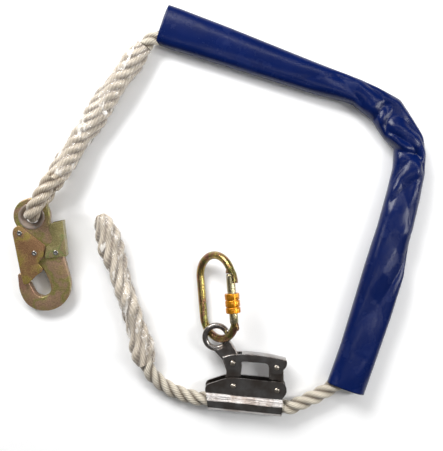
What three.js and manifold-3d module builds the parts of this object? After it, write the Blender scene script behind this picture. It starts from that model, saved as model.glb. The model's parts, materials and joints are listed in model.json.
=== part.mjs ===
// Rope grab on a work-positioning lanyard: grab, screw-gate carabiner, laid rope, snap hook and cover.
// Units are millimetres, +Z is up. +X runs along the rope channel and +Y towards the carabiner.
// The origin is on the floor, under the middle of the grab and its carabiner.
import * as THREE from "three";
import { mergeVertices } from "three/addons/utils/BufferGeometryUtils.js";
import Module from "manifold-3d";

const wasm = await Module();
wasm.setup();

// ---- driving dimensions ----
const GAP = 0.3; // clearance between pieces that touch
const ROPE_R = 8;
const SHEET = 2; // grab body sheet
const GRAB_X = -2.7; // arm pivot, in the part's frame
const GRAB_Y = -79.4; // rope axis
const GRAB_Z = 11.1; // rope axis above the floor
const GRAB_TILT = 5; // degrees that the handle side is raised
const BULB_R = 11.1; // round channel, outside
const PLATE_HALF = 8.6; // side plates, outside
const ARM_HALF = 4.5; // half thickness of arm and link
const LINK_PITCH = 50; // arm pivot to link pivot
const PIVOT_Y = 21; // both body pivots above the rope axis
const HANDLE_DX = -3; // handle pivots from the body pivots
const HANDLE_DY = 25.7;
const HANDLE_HALF = 6.7;
const HANDLE_SHEET = 1.6;
const RING = { x: -24.2, y: 73.5, mid: 13.05, halfWidth: 3.25, halfThick: 3.7 };
const RIVET_R = 2.5;

const CARABINER = { x: -30.4, y: 39.6, z: 22, yaw: 10.5, tilt: 44 };
const OVAL_R = 25; // end bends of the rod's centreline
const OVAL_LEG = 22.5; // half the straight leg
const ROD_R = 4.5;
const GATE_X = 22.8;
const GATE_R = 4.8;
const GATE_PIN_Y = -25.7;
const LATCH_PIN_Y = 22.7;
const GATE_TOP_Y = 26;
const TONGUE_HALF = 1.8;

const HOOK = { x: -247.5, y: 109.9, z: 23.1, yaw: 13, tilt: 9.3 };
const HOOK_HALF = 5.2;
const LEVER_LAYER = [5.6, 7.0]; // lever plates, near and far face
const GATE_LAYER = [7.4, 8.8]; // gate plates
const HOOK_GATE_PIVOT = [-15.5, -16.6];
const HOOK_STOP = [-3, -41.4];
const LEVER_PIVOT = [20.5, -44.1];
const HOOK_GATE_OPEN = 22; // degrees that the stop rivet's slot allows

const SPLICE_R = 12.4;
const FILM = 0.8; // clear shrink film

// Routes of the soft parts, chosen by hand.
const TAIL_ROUTE = [
  [-31.4, -79.4, 11.1], [-36, -79.4, 11.1], [-44, -79.5, 10.2], [-54, -78.1, 9], [-65, -75.6, 8.2],
  [-76.5, -71.6, 8.4], [-87.5, -65, 9.6], [-95, -58.5, 11.4], [-99.9, -52.8, 13], [-103, -46.6, 13.2],
];
const TAIL_SPLICE_ROUTE = [
  [-103.4, -45.8, 13.7], [-107.5, -36, 13.7], [-113.5, -19, 13.7], [-121, -2, 13.7], [-128, 15, 13.7],
  [-135.5, 32, 13.7], [-143.5, 50, 13.7], [-150.5, 68, 13.7], [-158.5, 86, 13.7], [-165.5, 104, 13.7],
  [-173, 119, 13.7],
];
const MAIN_ROUTE = [
  [58.3, -79.4, 11.1], [63, -79.4, 11.1], [69, -77.8, 10.4], [77, -73.6, 9.3], [85.5, -68.8, 8.9],
  [94, -63.6, 9], [102.5, -57.9, 9.2], [110.5, -51.5, 9.6], [118.6, -43.8, 10.4], [124.5, -31, 10.4],
  [131, -10, 10.4], [138.5, 18, 10.4], [146.5, 52, 10.4], [153.5, 86, 10.4], [160, 120, 10.4],
  [166.5, 152, 10.4], [171, 180, 10.4], [171.5, 206, 10.4], [165, 232, 10.4], [150, 255, 10.4],
  [127, 272, 10.4], [100, 286, 10.4], [66, 296, 10.4], [30, 305, 10.4], [-10, 314, 10.4],
  [-52, 323, 10.4], [-85, 329, 10.4], [-107, 331, 10.4], [-121, 329.9, 10.8], [-131, 326.5, 12],
  [-137.5, 322.2, 13.2], [-141.7, 315.9, 13.3],
];
const HOOK_SPLICE_ROUTE = [
  [-142.4, 315.3, 13.7], [-149, 305, 13.7], [-158.5, 288.5, 13.7], [-168, 272.5, 13.7],
  [-177.5, 256.5, 13.7], [-185, 241.5, 13.7], [-192, 227, 13.8], [-200, 212.5, 14], [-207.5, 197.5, 14.8],
  [-214.5, 182.5, 16.4], [-220, 170, 18.6], [-223.9, 161, 20.4],
];
// Centreline of the cover with its flat width and height at each point.
const COVER_STATIONS = [
  [129, -48, 47.5, 22], [135, -24, 44, 22], [141, 8, 43, 22], [147.5, 40, 43, 22], [154, 76, 42, 22],
  [160.5, 112, 40, 22], [167, 146, 38, 22], [171.5, 176, 36, 22.5], [173.5, 206, 32, 23],
  [170, 230, 32, 24], [155, 252, 36, 24], [133, 271, 33, 23], [110, 284, 30, 22], [86, 292, 30, 22],
  [56, 300, 33, 22], [22, 308.5, 36, 22], [-14, 317, 39, 22], [-50, 325.5, 42, 22], [-84, 333.5, 45, 22],
  [-121.5, 341.5, 52, 23],
];
const COVER_WALL = 1;

// ---- materials ----
const metal = (color, roughness = 0.35) =>
  new THREE.MeshStandardMaterial({ color, roughness, metalness: 1 });
const soft = (color, roughness = 0.7) =>
  new THREE.MeshStandardMaterial({ color, roughness, metalness: 0 });
const stainless = metal(0x6e6a68, 0.22);
const nickel = metal(0xd8d2c4, 0.25);
const yellowZinc = metal(0xa08a55, 0.4);
const springSteel = metal(0x888888, 0.4);
const orangeAnodised = metal(0xd98212, 0.4);
const ropeWhite = soft(0xd8d0c0, 0.8);
const film = soft(0xe8e0d0, 0.2);
const blueCover = soft(0x15307a, 0.4);
const greyPlastic = soft(0x9a9490, 0.4);

// ---- geometry tools ----
const degrees = THREE.MathUtils.degToRad;

function solidOf(geometry) {
  const bare = geometry.clone();
  bare.deleteAttribute("normal");
  bare.deleteAttribute("uv");
  const merged = mergeVertices(bare, 1e-4);
  return new wasm.Manifold(
    new wasm.Mesh({
      numProp: 3,
      vertProperties: new Float32Array(merged.attributes.position.array),
      triVerts: new Uint32Array(merged.index.array),
    }),
  );
}

function geometryOf(solid) {
  const mesh = solid.getMesh();
  const geometry = new THREE.BufferGeometry();
  geometry.setAttribute("position", new THREE.BufferAttribute(new Float32Array(mesh.vertProperties), 3));
  geometry.setIndex(new THREE.BufferAttribute(new Uint32Array(mesh.triVerts), 1));
  return geometry;
}

const join = (...solids) => solids.reduce((whole, next) => whole.add(next));
const cut = (base, ...tools) => tools.reduce((whole, next) => whole.subtract(next), base);

// A flat plate between two heights, from a closed outline of [x, y] points or a THREE.Shape.
function plate(outline, low, high, curveSegments = 8) {
  const isShape = outline instanceof THREE.Shape;
  const shape = isShape ? outline : new THREE.Shape(outline.map(([x, y]) => new THREE.Vector2(x, y)));
  const settings = { depth: high - low, bevelEnabled: false, curveSegments };
  const geometry = new THREE.ExtrudeGeometry(shape, settings);
  return solidOf(geometry.translate(0, 0, low));
}

// The same outline as two layers, one each side of the middle plane.
const bothSides = (outline, [near, far], curveSegments = 8) =>
  join(plate(outline, near, far, curveSegments), plate(outline, -far, -near, curveSegments));

// A round bar or hole along Z.
const disc = ([x, y], radius, low, high, sides = 20) =>
  solidOf(
    new THREE.CylinderGeometry(radius, radius, high - low, sides)
      .rotateX(Math.PI / 2)
      .translate(x, y, (low + high) / 2),
  );

// A round bar along Y.
const bar = (x, radius, low, high, sides = 16) =>
  solidOf(new THREE.CylinderGeometry(radius, radius, high - low, sides).translate(x, (low + high) / 2, 0));

const box = (low, high) => {
  const size = high.map((h, i) => h - low[i]);
  const middle = high.map((h, i) => (h + low[i]) / 2);
  return solidOf(new THREE.BoxGeometry(...size).translate(...middle));
};

// A turned piece: [radius, height] profile about Z.
const turned = (profile, [x, y], sides = 16) =>
  solidOf(
    new THREE.LatheGeometry(profile.map(([r, h]) => new THREE.Vector2(r, h)), sides)
      .rotateX(Math.PI / 2)
      .translate(x, y, 0),
  );

// The outline of a plate rounded about two points, like a link.
function linkOutline([ax, ay], ra, [bx, by], rb, steps = 10) {
  const along = Math.atan2(by - ay, bx - ax);
  const points = [];
  for (let i = 0; i <= steps; i++) {
    const angle = along + Math.PI / 2 + (Math.PI * i) / steps;
    points.push([ax + ra * Math.cos(angle), ay + ra * Math.sin(angle)]);
  }
  for (let i = 0; i <= steps; i++) {
    const angle = along - Math.PI / 2 + (Math.PI * i) / steps;
    points.push([bx + rb * Math.cos(angle), by + rb * Math.sin(angle)]);
  }
  return points;
}

const routeCurve = (points) =>
  new THREE.CatmullRomCurve3(points.map((p) => new THREE.Vector3(...p)), false, "centripetal");

function circleShape(radius, sides) {
  const shape = new THREE.Shape();
  for (let i = 0; i < sides; i++) {
    const angle = (2 * Math.PI * i) / sides;
    shape[i ? "lineTo" : "moveTo"](radius * Math.cos(angle), radius * Math.sin(angle));
  }
  shape.closePath();
  return shape;
}

// A round tube along a route, solid or with a bore.
function tube(points, radius, steps, sides = 10, bore = 0) {
  const shape = circleShape(radius, sides);
  if (bore) shape.holes.push(circleShape(bore, sides));
  return solidOf(
    new THREE.ExtrudeGeometry(shape, { steps, bevelEnabled: false, extrudePath: routeCurve(points) }),
  );
}

// A coil of round wire about Z, with straight legs from its ends if they are given.
function coil({ centre, radius, wire, turns, pitch, start = 0, legs = [], steps = 10, sides = 5 }) {
  const points = [];
  const count = Math.round(turns * steps);
  for (let i = 0; i <= count; i++) {
    const angle = start + (2 * Math.PI * i) / steps;
    points.push([
      centre[0] + radius * Math.cos(angle),
      centre[1] + radius * Math.sin(angle),
      centre[2] + (pitch * i) / steps,
    ]);
  }
  if (legs[0]) points.unshift(legs[0]);
  if (legs[1]) points.push(legs[1]);
  return tube(points, wire / 2, points.length, sides);
}

function piece(name, solid, material) {
  const mesh = new THREE.Mesh(geometryOf(solid), material);
  mesh.name = name;
  return mesh;
}

// A domed rivet about Z through both sides, its heads just outside +-half.
function rivet(centre, half, headRadius = 3.1, headHeight = 1.6) {
  const under = half + GAP;
  const dome = (side) =>
    [0, 0.35, 0.7, 1].map((u) => [
      headRadius * Math.sqrt(1 - (1 - u) * (1 - u)),
      side * (under + headHeight * (1 - u)),
    ]);
  const profile = [...dome(-1), [RIVET_R, -under], [RIVET_R, under], ...dome(1).reverse()];
  return turned(profile, centre, 12);
}

// ---- grab ----
const ARM_PIVOT = [0, PIVOT_Y];
const LINK_PIVOT = [LINK_PITCH, PIVOT_Y];
const HANDLE_ARM = [HANDLE_DX, PIVOT_Y + HANDLE_DY];
const HANDLE_LINK = [LINK_PITCH + HANDLE_DX, PIVOT_Y + HANDLE_DY];
const HOLE_R = RIVET_R + GAP;

// Sheet section across the channel, as [across, up] points, carried along X.
function bodySection() {
  const top = 34;
  const shoulderTop = 10;
  const shoulderLow = 1.5;
  const wall = (offset) => {
    const points = [[PLATE_HALF - offset, top], [PLATE_HALF - offset, shoulderTop + 0.3 * offset]];
    points.push([BULB_R - offset, shoulderLow + 0.3 * offset]);
    for (let i = 1; i < 12; i++) {
      const angle = -(Math.PI * i) / 12;
      points.push([(BULB_R - offset) * Math.cos(angle), (BULB_R - offset) * Math.sin(angle)]);
    }
    points.push([offset - BULB_R, shoulderLow + 0.3 * offset]);
    points.push([offset - PLATE_HALF, shoulderTop + 0.3 * offset], [offset - PLATE_HALF, top]);
    return points;
  };
  return [...wall(0), ...wall(SHEET).reverse()];
}

// Side view of the body: rounded left tab, long top edge, round lobe about the link pivot.
function bodyOutline() {
  const shape = new THREE.Shape();
  shape.moveTo(-25, -13);
  shape.lineTo(-28.4, 6.3);
  shape.lineTo(-30.2, 10.5);
  shape.quadraticCurveTo(-32.2, 16, -29.3, 19.6);
  shape.quadraticCurveTo(-20, 25.5, -9, 28.6);
  shape.quadraticCurveTo(-3, 30.3, 4, 30.5);
  shape.lineTo(56, 30.5);
  shape.lineTo(58.2, 28.6);
  shape.absarc(LINK_PITCH, PIVOT_Y, 11.2, degrees(43), degrees(-36), true);
  shape.lineTo(57.8, 10.4);
  shape.lineTo(58.8, -13);
  shape.closePath();
  return shape;
}

function grabBody() {
  const section = new THREE.Shape(bodySection().map(([u, v]) => new THREE.Vector2(u, v)));
  const length = 100;
  const sheet = new THREE.ExtrudeGeometry(section, { depth: length, bevelEnabled: false })
    .rotateY(Math.PI / 2)
    .translate(-35, 0, 0);
  const outline = plate(bodyOutline(), -20, 20, 6);
  const holes = [ARM_PIVOT, LINK_PIVOT].map((p) => disc(p, HOLE_R, -20, 20));
  return cut(solidOf(sheet).intersect(outline), ...holes);
}

// Spiral cam about the arm pivot with shallow teeth that face the rope.
function camOutline() {
  const points = [];
  const toothCount = 9;
  const from = -128;
  const step = 8.5;
  const radiusAt = (angle) => 12.5 - 0.05 * (angle + 90);
  for (let i = 0; i < toothCount; i++) {
    const angle = from + i * step;
    points.push([angle, radiusAt(angle)], [angle + 0.7 * step, radiusAt(angle) - 1]);
  }
  points.push([-40, 9.4], [0, 8.6], [45, 8.6], [120, 9], [180, 9.2], [215, 10.5]);
  return points.map(([angle, r]) => [r * Math.cos(degrees(angle)), PIVOT_Y + r * Math.sin(degrees(angle))]);
}

function camArm() {
  const stem = [
    [-9, 20], [-9, 36], [-14.3, 48.2], [-25.4, 58.4], [-30, 66],
    [-14, 76], [-8.3, 70.4], [-1.1, 61], [5, 51.5],
    [8, 43], [8, 20],
  ];
  const eyeSteps = 10;
  const eye = [];
  for (let i = 0; i <= eyeSteps; i++) {
    const angle = (2 * Math.PI * i) / eyeSteps;
    eye.push([RING.mid + RING.halfWidth * Math.cos(angle), RING.halfThick * Math.sin(angle)]);
  }
  const ring = turned(eye, [RING.x, RING.y], 28);
  const clearHole = disc([RING.x, RING.y], RING.mid, -10, 10, 28);
  const neck = cut(plate(stem, -ARM_HALF, ARM_HALF), clearHole);
  const cam = plate(camOutline(), -ARM_HALF, ARM_HALF);
  return cut(join(neck, ring, cam), disc(ARM_PIVOT, HOLE_R, -9, 9), disc(HANDLE_ARM, HOLE_R, -9, 9));
}

const SPRING_FLOOR = 1.4; // face of the link under its spring

function rearLink() {
  const whole = plate(linkOutline(LINK_PIVOT, 8.5, HANDLE_LINK, 8.2), -ARM_HALF, ARM_HALF);
  const pocket = disc(LINK_PIVOT, 10, SPRING_FLOOR, 9, 24);
  return cut(whole, pocket, disc(LINK_PIVOT, HOLE_R, -9, 9), disc(HANDLE_LINK, HOLE_R, -9, 9));
}

// Side view of the handle, with its finger window open below.
function handleOutline() {
  const shape = new THREE.Shape();
  const boss = 8.4;
  shape.moveTo(-15.2, 52.4);
  shape.quadraticCurveTo(-4, 57.6, 9, 58.5);
  shape.quadraticCurveTo(34, 60, 57.4, 56.2);
  shape.quadraticCurveTo(59.4, 53, 57.8, 48);
  shape.lineTo(55.3, 44.6);
  shape.absarc(HANDLE_LINK[0], HANDLE_LINK[1], boss, degrees(-14), degrees(-170), true);
  shape.lineTo(37.6, 47.6);
  shape.quadraticCurveTo(36.6, 50, 33.5, 50.2);
  shape.lineTo(10, 49.6);
  shape.quadraticCurveTo(6.8, 49.4, 6.2, 46.6);
  shape.absarc(HANDLE_ARM[0], HANDLE_ARM[1], boss, degrees(-8), degrees(-150), true);
  shape.closePath();
  return shape;
}

function topHandle() {
  const whole = plate(handleOutline(), -HANDLE_HALF, HANDLE_HALF, 8);
  const inside = HANDLE_HALF - HANDLE_SHEET;
  // The web is the top edge of the bar; left of the arm slot and below the bar the sheet is open inside.
  const hollow = plate(
    [[-20, 30], [-20, 64], [6.5, 64], [6.5, 57], [20, 57.2], [36, 57.2], [54, 54.8], [64, 54], [64, 30]],
    -inside,
    inside,
  );
  const bores = [HANDLE_ARM, HANDLE_LINK].map((p) => disc(p, HOLE_R, -9, 9));
  return cut(whole, hollow, ...bores);
}

const washer = (centre, low, high) =>
  cut(disc(centre, 5.5, low, high), disc(centre, HOLE_R, low - 1, high + 1));

function buildGrab() {
  const group = new THREE.Group();
  group.position.set(GRAB_X, GRAB_Y, GRAB_Z);
  group.rotation.x = degrees(GRAB_TILT);
  const plateInside = PLATE_HALF - SHEET;
  const spacer = [ARM_HALF + 0.25, plateInside - 0.25];
  const spring = coil({
    centre: [...LINK_PIVOT, SPRING_FLOOR + 0.9],
    radius: 4.4, wire: 1, turns: 2.5, pitch: 1.25, start: Math.PI / 2,
    legs: [[LINK_PITCH - 8, PIVOT_Y + 4.6, SPRING_FLOOR + 0.9], [LINK_PITCH - 9, PIVOT_Y - 5, 5.5]],
  });
  group.add(
    piece("grab_body", grabBody(), stainless),
    piece("cam_arm", camArm(), stainless),
    piece("rear_link", rearLink(), stainless),
    piece("top_handle", topHandle(), stainless),
    piece("arm_pivot_rivet", rivet(ARM_PIVOT, PLATE_HALF), nickel),
    piece("link_pivot_rivet", rivet(LINK_PIVOT, PLATE_HALF), nickel),
    piece("handle_arm_rivet", rivet(HANDLE_ARM, HANDLE_HALF), nickel),
    piece("handle_link_rivet", rivet(HANDLE_LINK, HANDLE_HALF), nickel),
    piece("arm_spacer_front", washer(ARM_PIVOT, ...spacer), nickel),
    piece("arm_spacer_back", washer(ARM_PIVOT, -spacer[1], -spacer[0]), nickel),
    piece("link_spacer_back", washer(LINK_PIVOT, -spacer[1], -spacer[0]), nickel),
    piece("cam_return_spring", spring, springSteel),
  );
  return group;
}

// ---- carabiner ----
// Point on the rod's centreline: angle 0 is the gate side, going round over the top end.
const ovalPoint = (angle) => [
  OVAL_R * Math.cos(angle),
  Math.sign(Math.sin(angle)) * OVAL_LEG + OVAL_R * Math.sin(angle),
  0,
];

function carabinerRod() {
  const points = [];
  const endSteps = 12;
  const topStart = degrees(14);
  const lowEnd = degrees(342);
  for (let i = 0; i <= endSteps; i++)
    points.push(ovalPoint(topStart + ((Math.PI * 0.999 - topStart) * i) / endSteps));
  for (let i = 1; i <= endSteps; i++)
    points.push(ovalPoint(Math.PI * 1.001 + ((lowEnd - Math.PI) * (i - 1)) / (endSteps - 1)));
  return tube(points, ROD_R, 44, 12);
}

// Nose: a claw that reaches down the outside of the gate's top end.
function noseClaw() {
  const outline = new THREE.Shape();
  outline.moveTo(19.2, 30.5);
  outline.lineTo(27, 31.5);
  outline.quadraticCurveTo(31.6, 24, 30.9, 15.8);
  outline.lineTo(28.6, 15.8);
  outline.lineTo(28.2, 26.4);
  outline.lineTo(18.4, 26.6);
  outline.closePath();
  return plate(outline, -3.2, 3.2, 5);
}

function carabinerBody() {
  const clearance = bar(GATE_X, GATE_R + 0.4, -22, GATE_TOP_Y + 0.4, 20);
  const lowGate = bar(GATE_X, GATE_R + 0.5, -31, -21, 20);
  const tongue = plate(
    linkOutline([GATE_X, GATE_PIN_Y], 3.9, [GATE_X + 1.4, -34], 4.2, 8), -TONGUE_HALF, TONGUE_HALF);
  const pinHole = disc([GATE_X, GATE_PIN_Y], 1.9, -6, 6, 14);
  const rod = cut(carabinerRod(), lowGate);
  return cut(join(rod, tongue, cut(noseClaw(), clearance)), pinHole);
}

function carabinerGate() {
  const barrel = solidOf(
    new THREE.LatheGeometry(
      [[0, -29.6], [3.6, -29.6], [GATE_R, -28.2], [GATE_R, 24.8], [3.8, GATE_TOP_Y], [0, GATE_TOP_Y]].map(
        ([r, h]) => new THREE.Vector2(r, h),
      ),
      18,
    ).translate(GATE_X, 0, 0),
  );
  const slot = box([GATE_X - 8, -31, -TONGUE_HALF - GAP], [GATE_X + 8, -20.4, TONGUE_HALF + GAP]);
  const bore = bar(GATE_X, 2.6, -22, 9, 12);
  const pins = [disc([GATE_X, GATE_PIN_Y], 1.9, -6, 6, 14), disc([GATE_X, LATCH_PIN_Y], 1.9, -6, 6, 14)];
  return cut(barrel, slot, bore, ...pins);
}

// Knurled sleeve with two grooves, running on the gate.
function screwSleeve() {
  const low = -17.6;
  const high = 4.3;
  const outer = 8.2;
  const groove = 7.5;
  const bore = GATE_R + GAP;
  const profile = [
    [bore, low], [outer - 1, low], [outer, low + 1.2], [outer, low + 6],
    [groove, low + 6.5], [groove, low + 7.4],
    [outer, low + 7.9], [outer, low + 13.6], [groove, low + 14.1], [groove, low + 15], [outer, low + 15.5],
    [outer, high - 1.2], [outer - 1, high], [bore, high], [bore, low],
  ];
  return solidOf(
    new THREE.LatheGeometry(profile.map(([r, h]) => new THREE.Vector2(r, h)), 20).translate(GATE_X, 0, 0),
  );
}

function buildCarabiner() {
  const yaw = new THREE.Group();
  yaw.position.set(CARABINER.x, CARABINER.y, CARABINER.z);
  yaw.rotation.z = degrees(CARABINER.yaw);
  const group = new THREE.Group();
  group.rotation.y = -degrees(CARABINER.tilt);
  yaw.add(group);
  const gateSpring = coil({
    centre: [0, 0, 0], radius: 1.7, wire: 0.7, turns: 8, pitch: 2.3, steps: 8, sides: 5,
  }).rotate([-90, 0, 0]).translate([GATE_X, -11.4, 0]);
  group.add(
    piece("carabiner_body", carabinerBody(), yellowZinc),
    piece("carabiner_gate", carabinerGate(), yellowZinc),
    piece("screw_sleeve", screwSleeve(), orangeAnodised),
    piece("gate_hinge_pin", disc([GATE_X, GATE_PIN_Y], 1.6, -4.6, 4.6, 14), nickel),
    piece("gate_latch_pin", disc([GATE_X, LATCH_PIN_Y], 1.6, -4.6, 4.6, 14), nickel),
    piece("gate_plunger", bar(GATE_X, 2.2, -21.2, -12.3, 12), springSteel),
    piece("gate_spring", gateSpring, springSteel),
  );
  return yaw;
}

// ---- snap hook ----
const EYE_HOLE_R = 13;

// Side view of the forging: eye, broad shank, round bend and nose.
function hookOutline() {
  const shape = new THREE.Shape();
  const eyeR = 20.4;
  shape.absarc(0, 0, eyeR, degrees(-26), degrees(214), false);
  shape.lineTo(-20.3, -16);
  shape.lineTo(-17.6, -23);
  shape.lineTo(-9, -45);
  shape.lineTo(3.4, -62);
  shape.lineTo(6.2, -72);
  shape.quadraticCurveTo(9, -82, 7.6, -87);
  shape.quadraticCurveTo(4, -93.6, -2.6, -93.6);
  shape.quadraticCurveTo(-9, -93, -11.6, -87);
  shape.lineTo(-15.2, -76);
  shape.lineTo(-21.5, -64.4);
  shape.quadraticCurveTo(-24.5, -61.8, -27, -65);
  shape.lineTo(-28, -78);
  shape.quadraticCurveTo(-28, -91, -22.4, -99.5);
  shape.quadraticCurveTo(-14, -110.3, 1, -110.6);
  shape.quadraticCurveTo(16, -110, 24.6, -99);
  shape.quadraticCurveTo(32.6, -88, 30.3, -72);
  shape.lineTo(28.2, -50);
  shape.lineTo(24.5, -24);
  shape.closePath();
  return shape;
}

function hookBody() {
  const whole = plate(hookOutline(), -HOOK_HALF, HOOK_HALF, 8);
  // The stop rivet swings with the gate through this curved slot.
  const dx = HOOK_STOP[0] - HOOK_GATE_PIVOT[0];
  const dy = HOOK_STOP[1] - HOOK_GATE_PIVOT[1];
  const reach = Math.hypot(dx, dy);
  const start = Math.atan2(dy, dx);
  const slotHalf = 3.1;
  const slot = [];
  const slotSteps = 6;
  for (const side of [1, -1])
    for (let i = 0; i <= slotSteps; i++) {
      const u = side > 0 ? i / slotSteps : 1 - i / slotSteps;
      const angle = start + degrees(-7 + (HOOK_GATE_OPEN + 14) * u);
      const r = reach + side * slotHalf;
      slot.push([HOOK_GATE_PIVOT[0] + r * Math.cos(angle), HOOK_GATE_PIVOT[1] + r * Math.sin(angle)]);
    }
  return cut(
    whole,
    disc([0, 0], EYE_HOLE_R, -9, 9, 28),
    disc(HOOK_GATE_PIVOT, HOLE_R, -9, 9, 14),
    disc(LEVER_PIVOT, HOLE_R, -9, 9, 14),
    plate(slot.reverse(), -9, 9),
  );
}

// Gate: two plates over the forging, joined by a fold along the left edge above the nose.
function hookGate() {
  const shape = new THREE.Shape();
  shape.moveTo(-23.4, -17);
  shape.quadraticCurveTo(-22.6, -8.6, -15, -8.4);
  shape.quadraticCurveTo(-12.5, -9.4, -10.6, -12.4);
  shape.lineTo(9.2, -32.6);
  shape.quadraticCurveTo(10.3, -34, 9.8, -36);
  shape.lineTo(6.6, -46);
  shape.quadraticCurveTo(1.5, -50.5, -0.6, -53.8);
  shape.lineTo(3.4, -60.2);
  shape.lineTo(2.2, -63.4);
  shape.quadraticCurveTo(-8, -68.4, -15.4, -75.4);
  shape.lineTo(-21, -76);
  shape.lineTo(-22.4, -62);
  shape.closePath();
  const plates = bothSides(shape, GATE_LAYER);
  const fold = plate(
    [[-23.4, -17], [-22.0, -17], [-21.0, -62], [-22.4, -62]], -GATE_LAYER[1], GATE_LAYER[1]);
  const holes = [HOOK_GATE_PIVOT, HOOK_STOP].map((at) => disc(at, HOLE_R, -12, 12, 14));
  return cut(join(plates, fold), ...holes);
}

// Lock lever: two plates inside the gate's, joined by a fold behind the shank.
function lockLever() {
  const shape = new THREE.Shape();
  shape.moveTo(18.2, -13.4);
  shape.quadraticCurveTo(19.4, -10.6, 22.6, -10.4);
  shape.lineTo(34, -9.6);
  shape.lineTo(31.6, -50);
  shape.lineTo(7.8, -49);
  shape.lineTo(7.2, -46);
  shape.lineTo(10.9, -36.4);
  shape.quadraticCurveTo(16.2, -34.6, 19, -28.4);
  shape.quadraticCurveTo(19.8, -23.6, 16.8, -18.6);
  shape.closePath();
  const plates = bothSides(shape, LEVER_LAYER);
  const fold = plate([[32.6, -9.7], [34, -9.6], [31.6, -50], [30.2, -50]], -LEVER_LAYER[1], LEVER_LAYER[1]);
  return cut(join(plates, fold), disc(LEVER_PIVOT, HOLE_R, -12, 12, 14));
}

// Plastic liner of the eye with a lip on each face.
function eyeThimble() {
  const lipR = 14.7;
  const lipLow = HOOK_HALF + GAP;
  const lipHigh = lipLow + 0.9;
  const outer = EYE_HOLE_R - GAP;
  const inner = 11.4;
  return turned(
    [
      [inner, -lipHigh], [lipR, -lipHigh], [lipR, -lipLow], [outer, -lipLow], [outer, lipLow], [lipR, lipLow],
      [lipR, lipHigh], [inner, lipHigh], [inner, -lipHigh],
    ],
    [0, 0],
    28,
  );
}

// The rope over the rim, down through the eye and back under it, in the plane of the splice.
function eyeLoop() {
  const across = degrees(53);
  const side = [
    [50.5, 9], [42, 11.2], [30, 14.4], [20, 15.6], [11.6, 15.2], [5.2, 12.8], [2.3, 6.8],
  ];
  const profile = [...side, [2.2, 0], ...side.map(([s, h]) => [s, -h]).reverse()];
  const points = profile.map(([s, h]) => [s * Math.cos(across), s * Math.sin(across), h]);
  return tube(points, ROPE_R, 22, 10);
}

function buildHook() {
  const yaw = new THREE.Group();
  yaw.position.set(HOOK.x, HOOK.y, HOOK.z);
  yaw.rotation.z = degrees(HOOK.yaw);
  const group = new THREE.Group();
  group.rotation.x = degrees(HOOK.tilt);
  yaw.add(group);
  const gateSpring = coil({
    centre: [...HOOK_GATE_PIVOT, HOOK_HALF + 0.75], radius: 4.2, wire: 0.7, turns: 1.25, pitch: 0.75,
    start: Math.PI,
    legs: [[HOOK_GATE_PIVOT[0] - 3.4, HOOK_GATE_PIVOT[1] - 9, HOOK_HALF + 0.75]],
  });
  const leverSpring = coil({
    centre: [0, 0, 0], radius: 2.4, wire: 0.7, turns: 4, pitch: 1.75, steps: 10, sides: 5,
  }).rotate([0, 90, 0]).translate([24.4, -17, 0]);
  group.add(
    piece("hook_body", hookBody(), yellowZinc),
    piece("hook_gate", hookGate(), yellowZinc),
    piece("lock_lever", lockLever(), yellowZinc),
    piece("hook_gate_rivet", rivet(HOOK_GATE_PIVOT, GATE_LAYER[1], 3.2, 1.2), nickel),
    piece("hook_stop_rivet", rivet(HOOK_STOP, GATE_LAYER[1], 3.2, 1.2), nickel),
    piece("lever_rivet", rivet(LEVER_PIVOT, LEVER_LAYER[1], 3.2, 1.2), nickel),
    piece("hook_gate_spring", gateSpring, springSteel),
    piece("lever_spring", leverSpring, springSteel),
    piece("eye_thimble", eyeThimble(), greyPlastic),
    piece("eye_loop", eyeLoop(), ropeWhite),
  );
  return yaw;
}

// ---- rope and cover ----
// A flattened cloth tube: rings of points about the stations' centreline, outside and inside.
function coverTube() {
  const around = 16;
  // A rounded rectangle rather than an ellipse: sine and cosine raised to 2/3.
  const squared = (value) => Math.sign(value) * Math.abs(value) ** (2 / 3);
  const centre = routeCurve(COVER_STATIONS.map(([x, y, , height]) => [x, y, height / 2 + 0.1]));
  const count = COVER_STATIONS.length;
  const positions = [];
  const rows = count;
  for (const inset of [0, COVER_WALL])
    for (let row = 0; row < rows; row++) {
      const t = row / (rows - 1);
      const at = centre.getPoint(t);
      const along = centre.getTangent(t);
      const across = new THREE.Vector3(-along.y, along.x, 0).normalize();
      const station = t * (count - 1);
      const low = Math.min(Math.floor(station), count - 2);
      const mix = station - low;
      const between = (column) =>
        COVER_STATIONS[low][column] * (1 - mix) + COVER_STATIONS[low + 1][column] * mix;
      const halfWidth = between(2) / 2 - inset;
      const halfHeight = between(3) / 2 - inset;
      for (let i = 0; i < around; i++) {
        const angle = (2 * Math.PI * i) / around;
        const side = halfWidth * squared(Math.cos(angle));
        const up = halfHeight * squared(Math.sin(angle));
        positions.push(at.x + across.x * side, at.y + across.y * side, at.z + up);
      }
    }
  const index = [];
  const at = (wall, row, i) => (wall * rows + row) * around + (i % around);
  const quad = (a, b, c, d) => index.push(a, b, c, a, c, d);
  for (let i = 0; i < around; i++) {
    for (let row = 0; row < rows - 1; row++) {
      quad(at(0, row, i), at(0, row, i + 1), at(0, row + 1, i + 1), at(0, row + 1, i));
      quad(at(1, row, i), at(1, row + 1, i), at(1, row + 1, i + 1), at(1, row, i + 1));
    }
    quad(at(0, 0, i), at(1, 0, i), at(1, 0, i + 1), at(0, 0, i + 1));
    quad(at(0, rows - 1, i), at(0, rows - 1, i + 1), at(1, rows - 1, i + 1), at(1, rows - 1, i));
  }
  const geometry = new THREE.BufferGeometry();
  geometry.setAttribute("position", new THREE.Float32BufferAttribute(positions, 3));
  geometry.setIndex(index);
  return solidOf(geometry);
}

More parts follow.
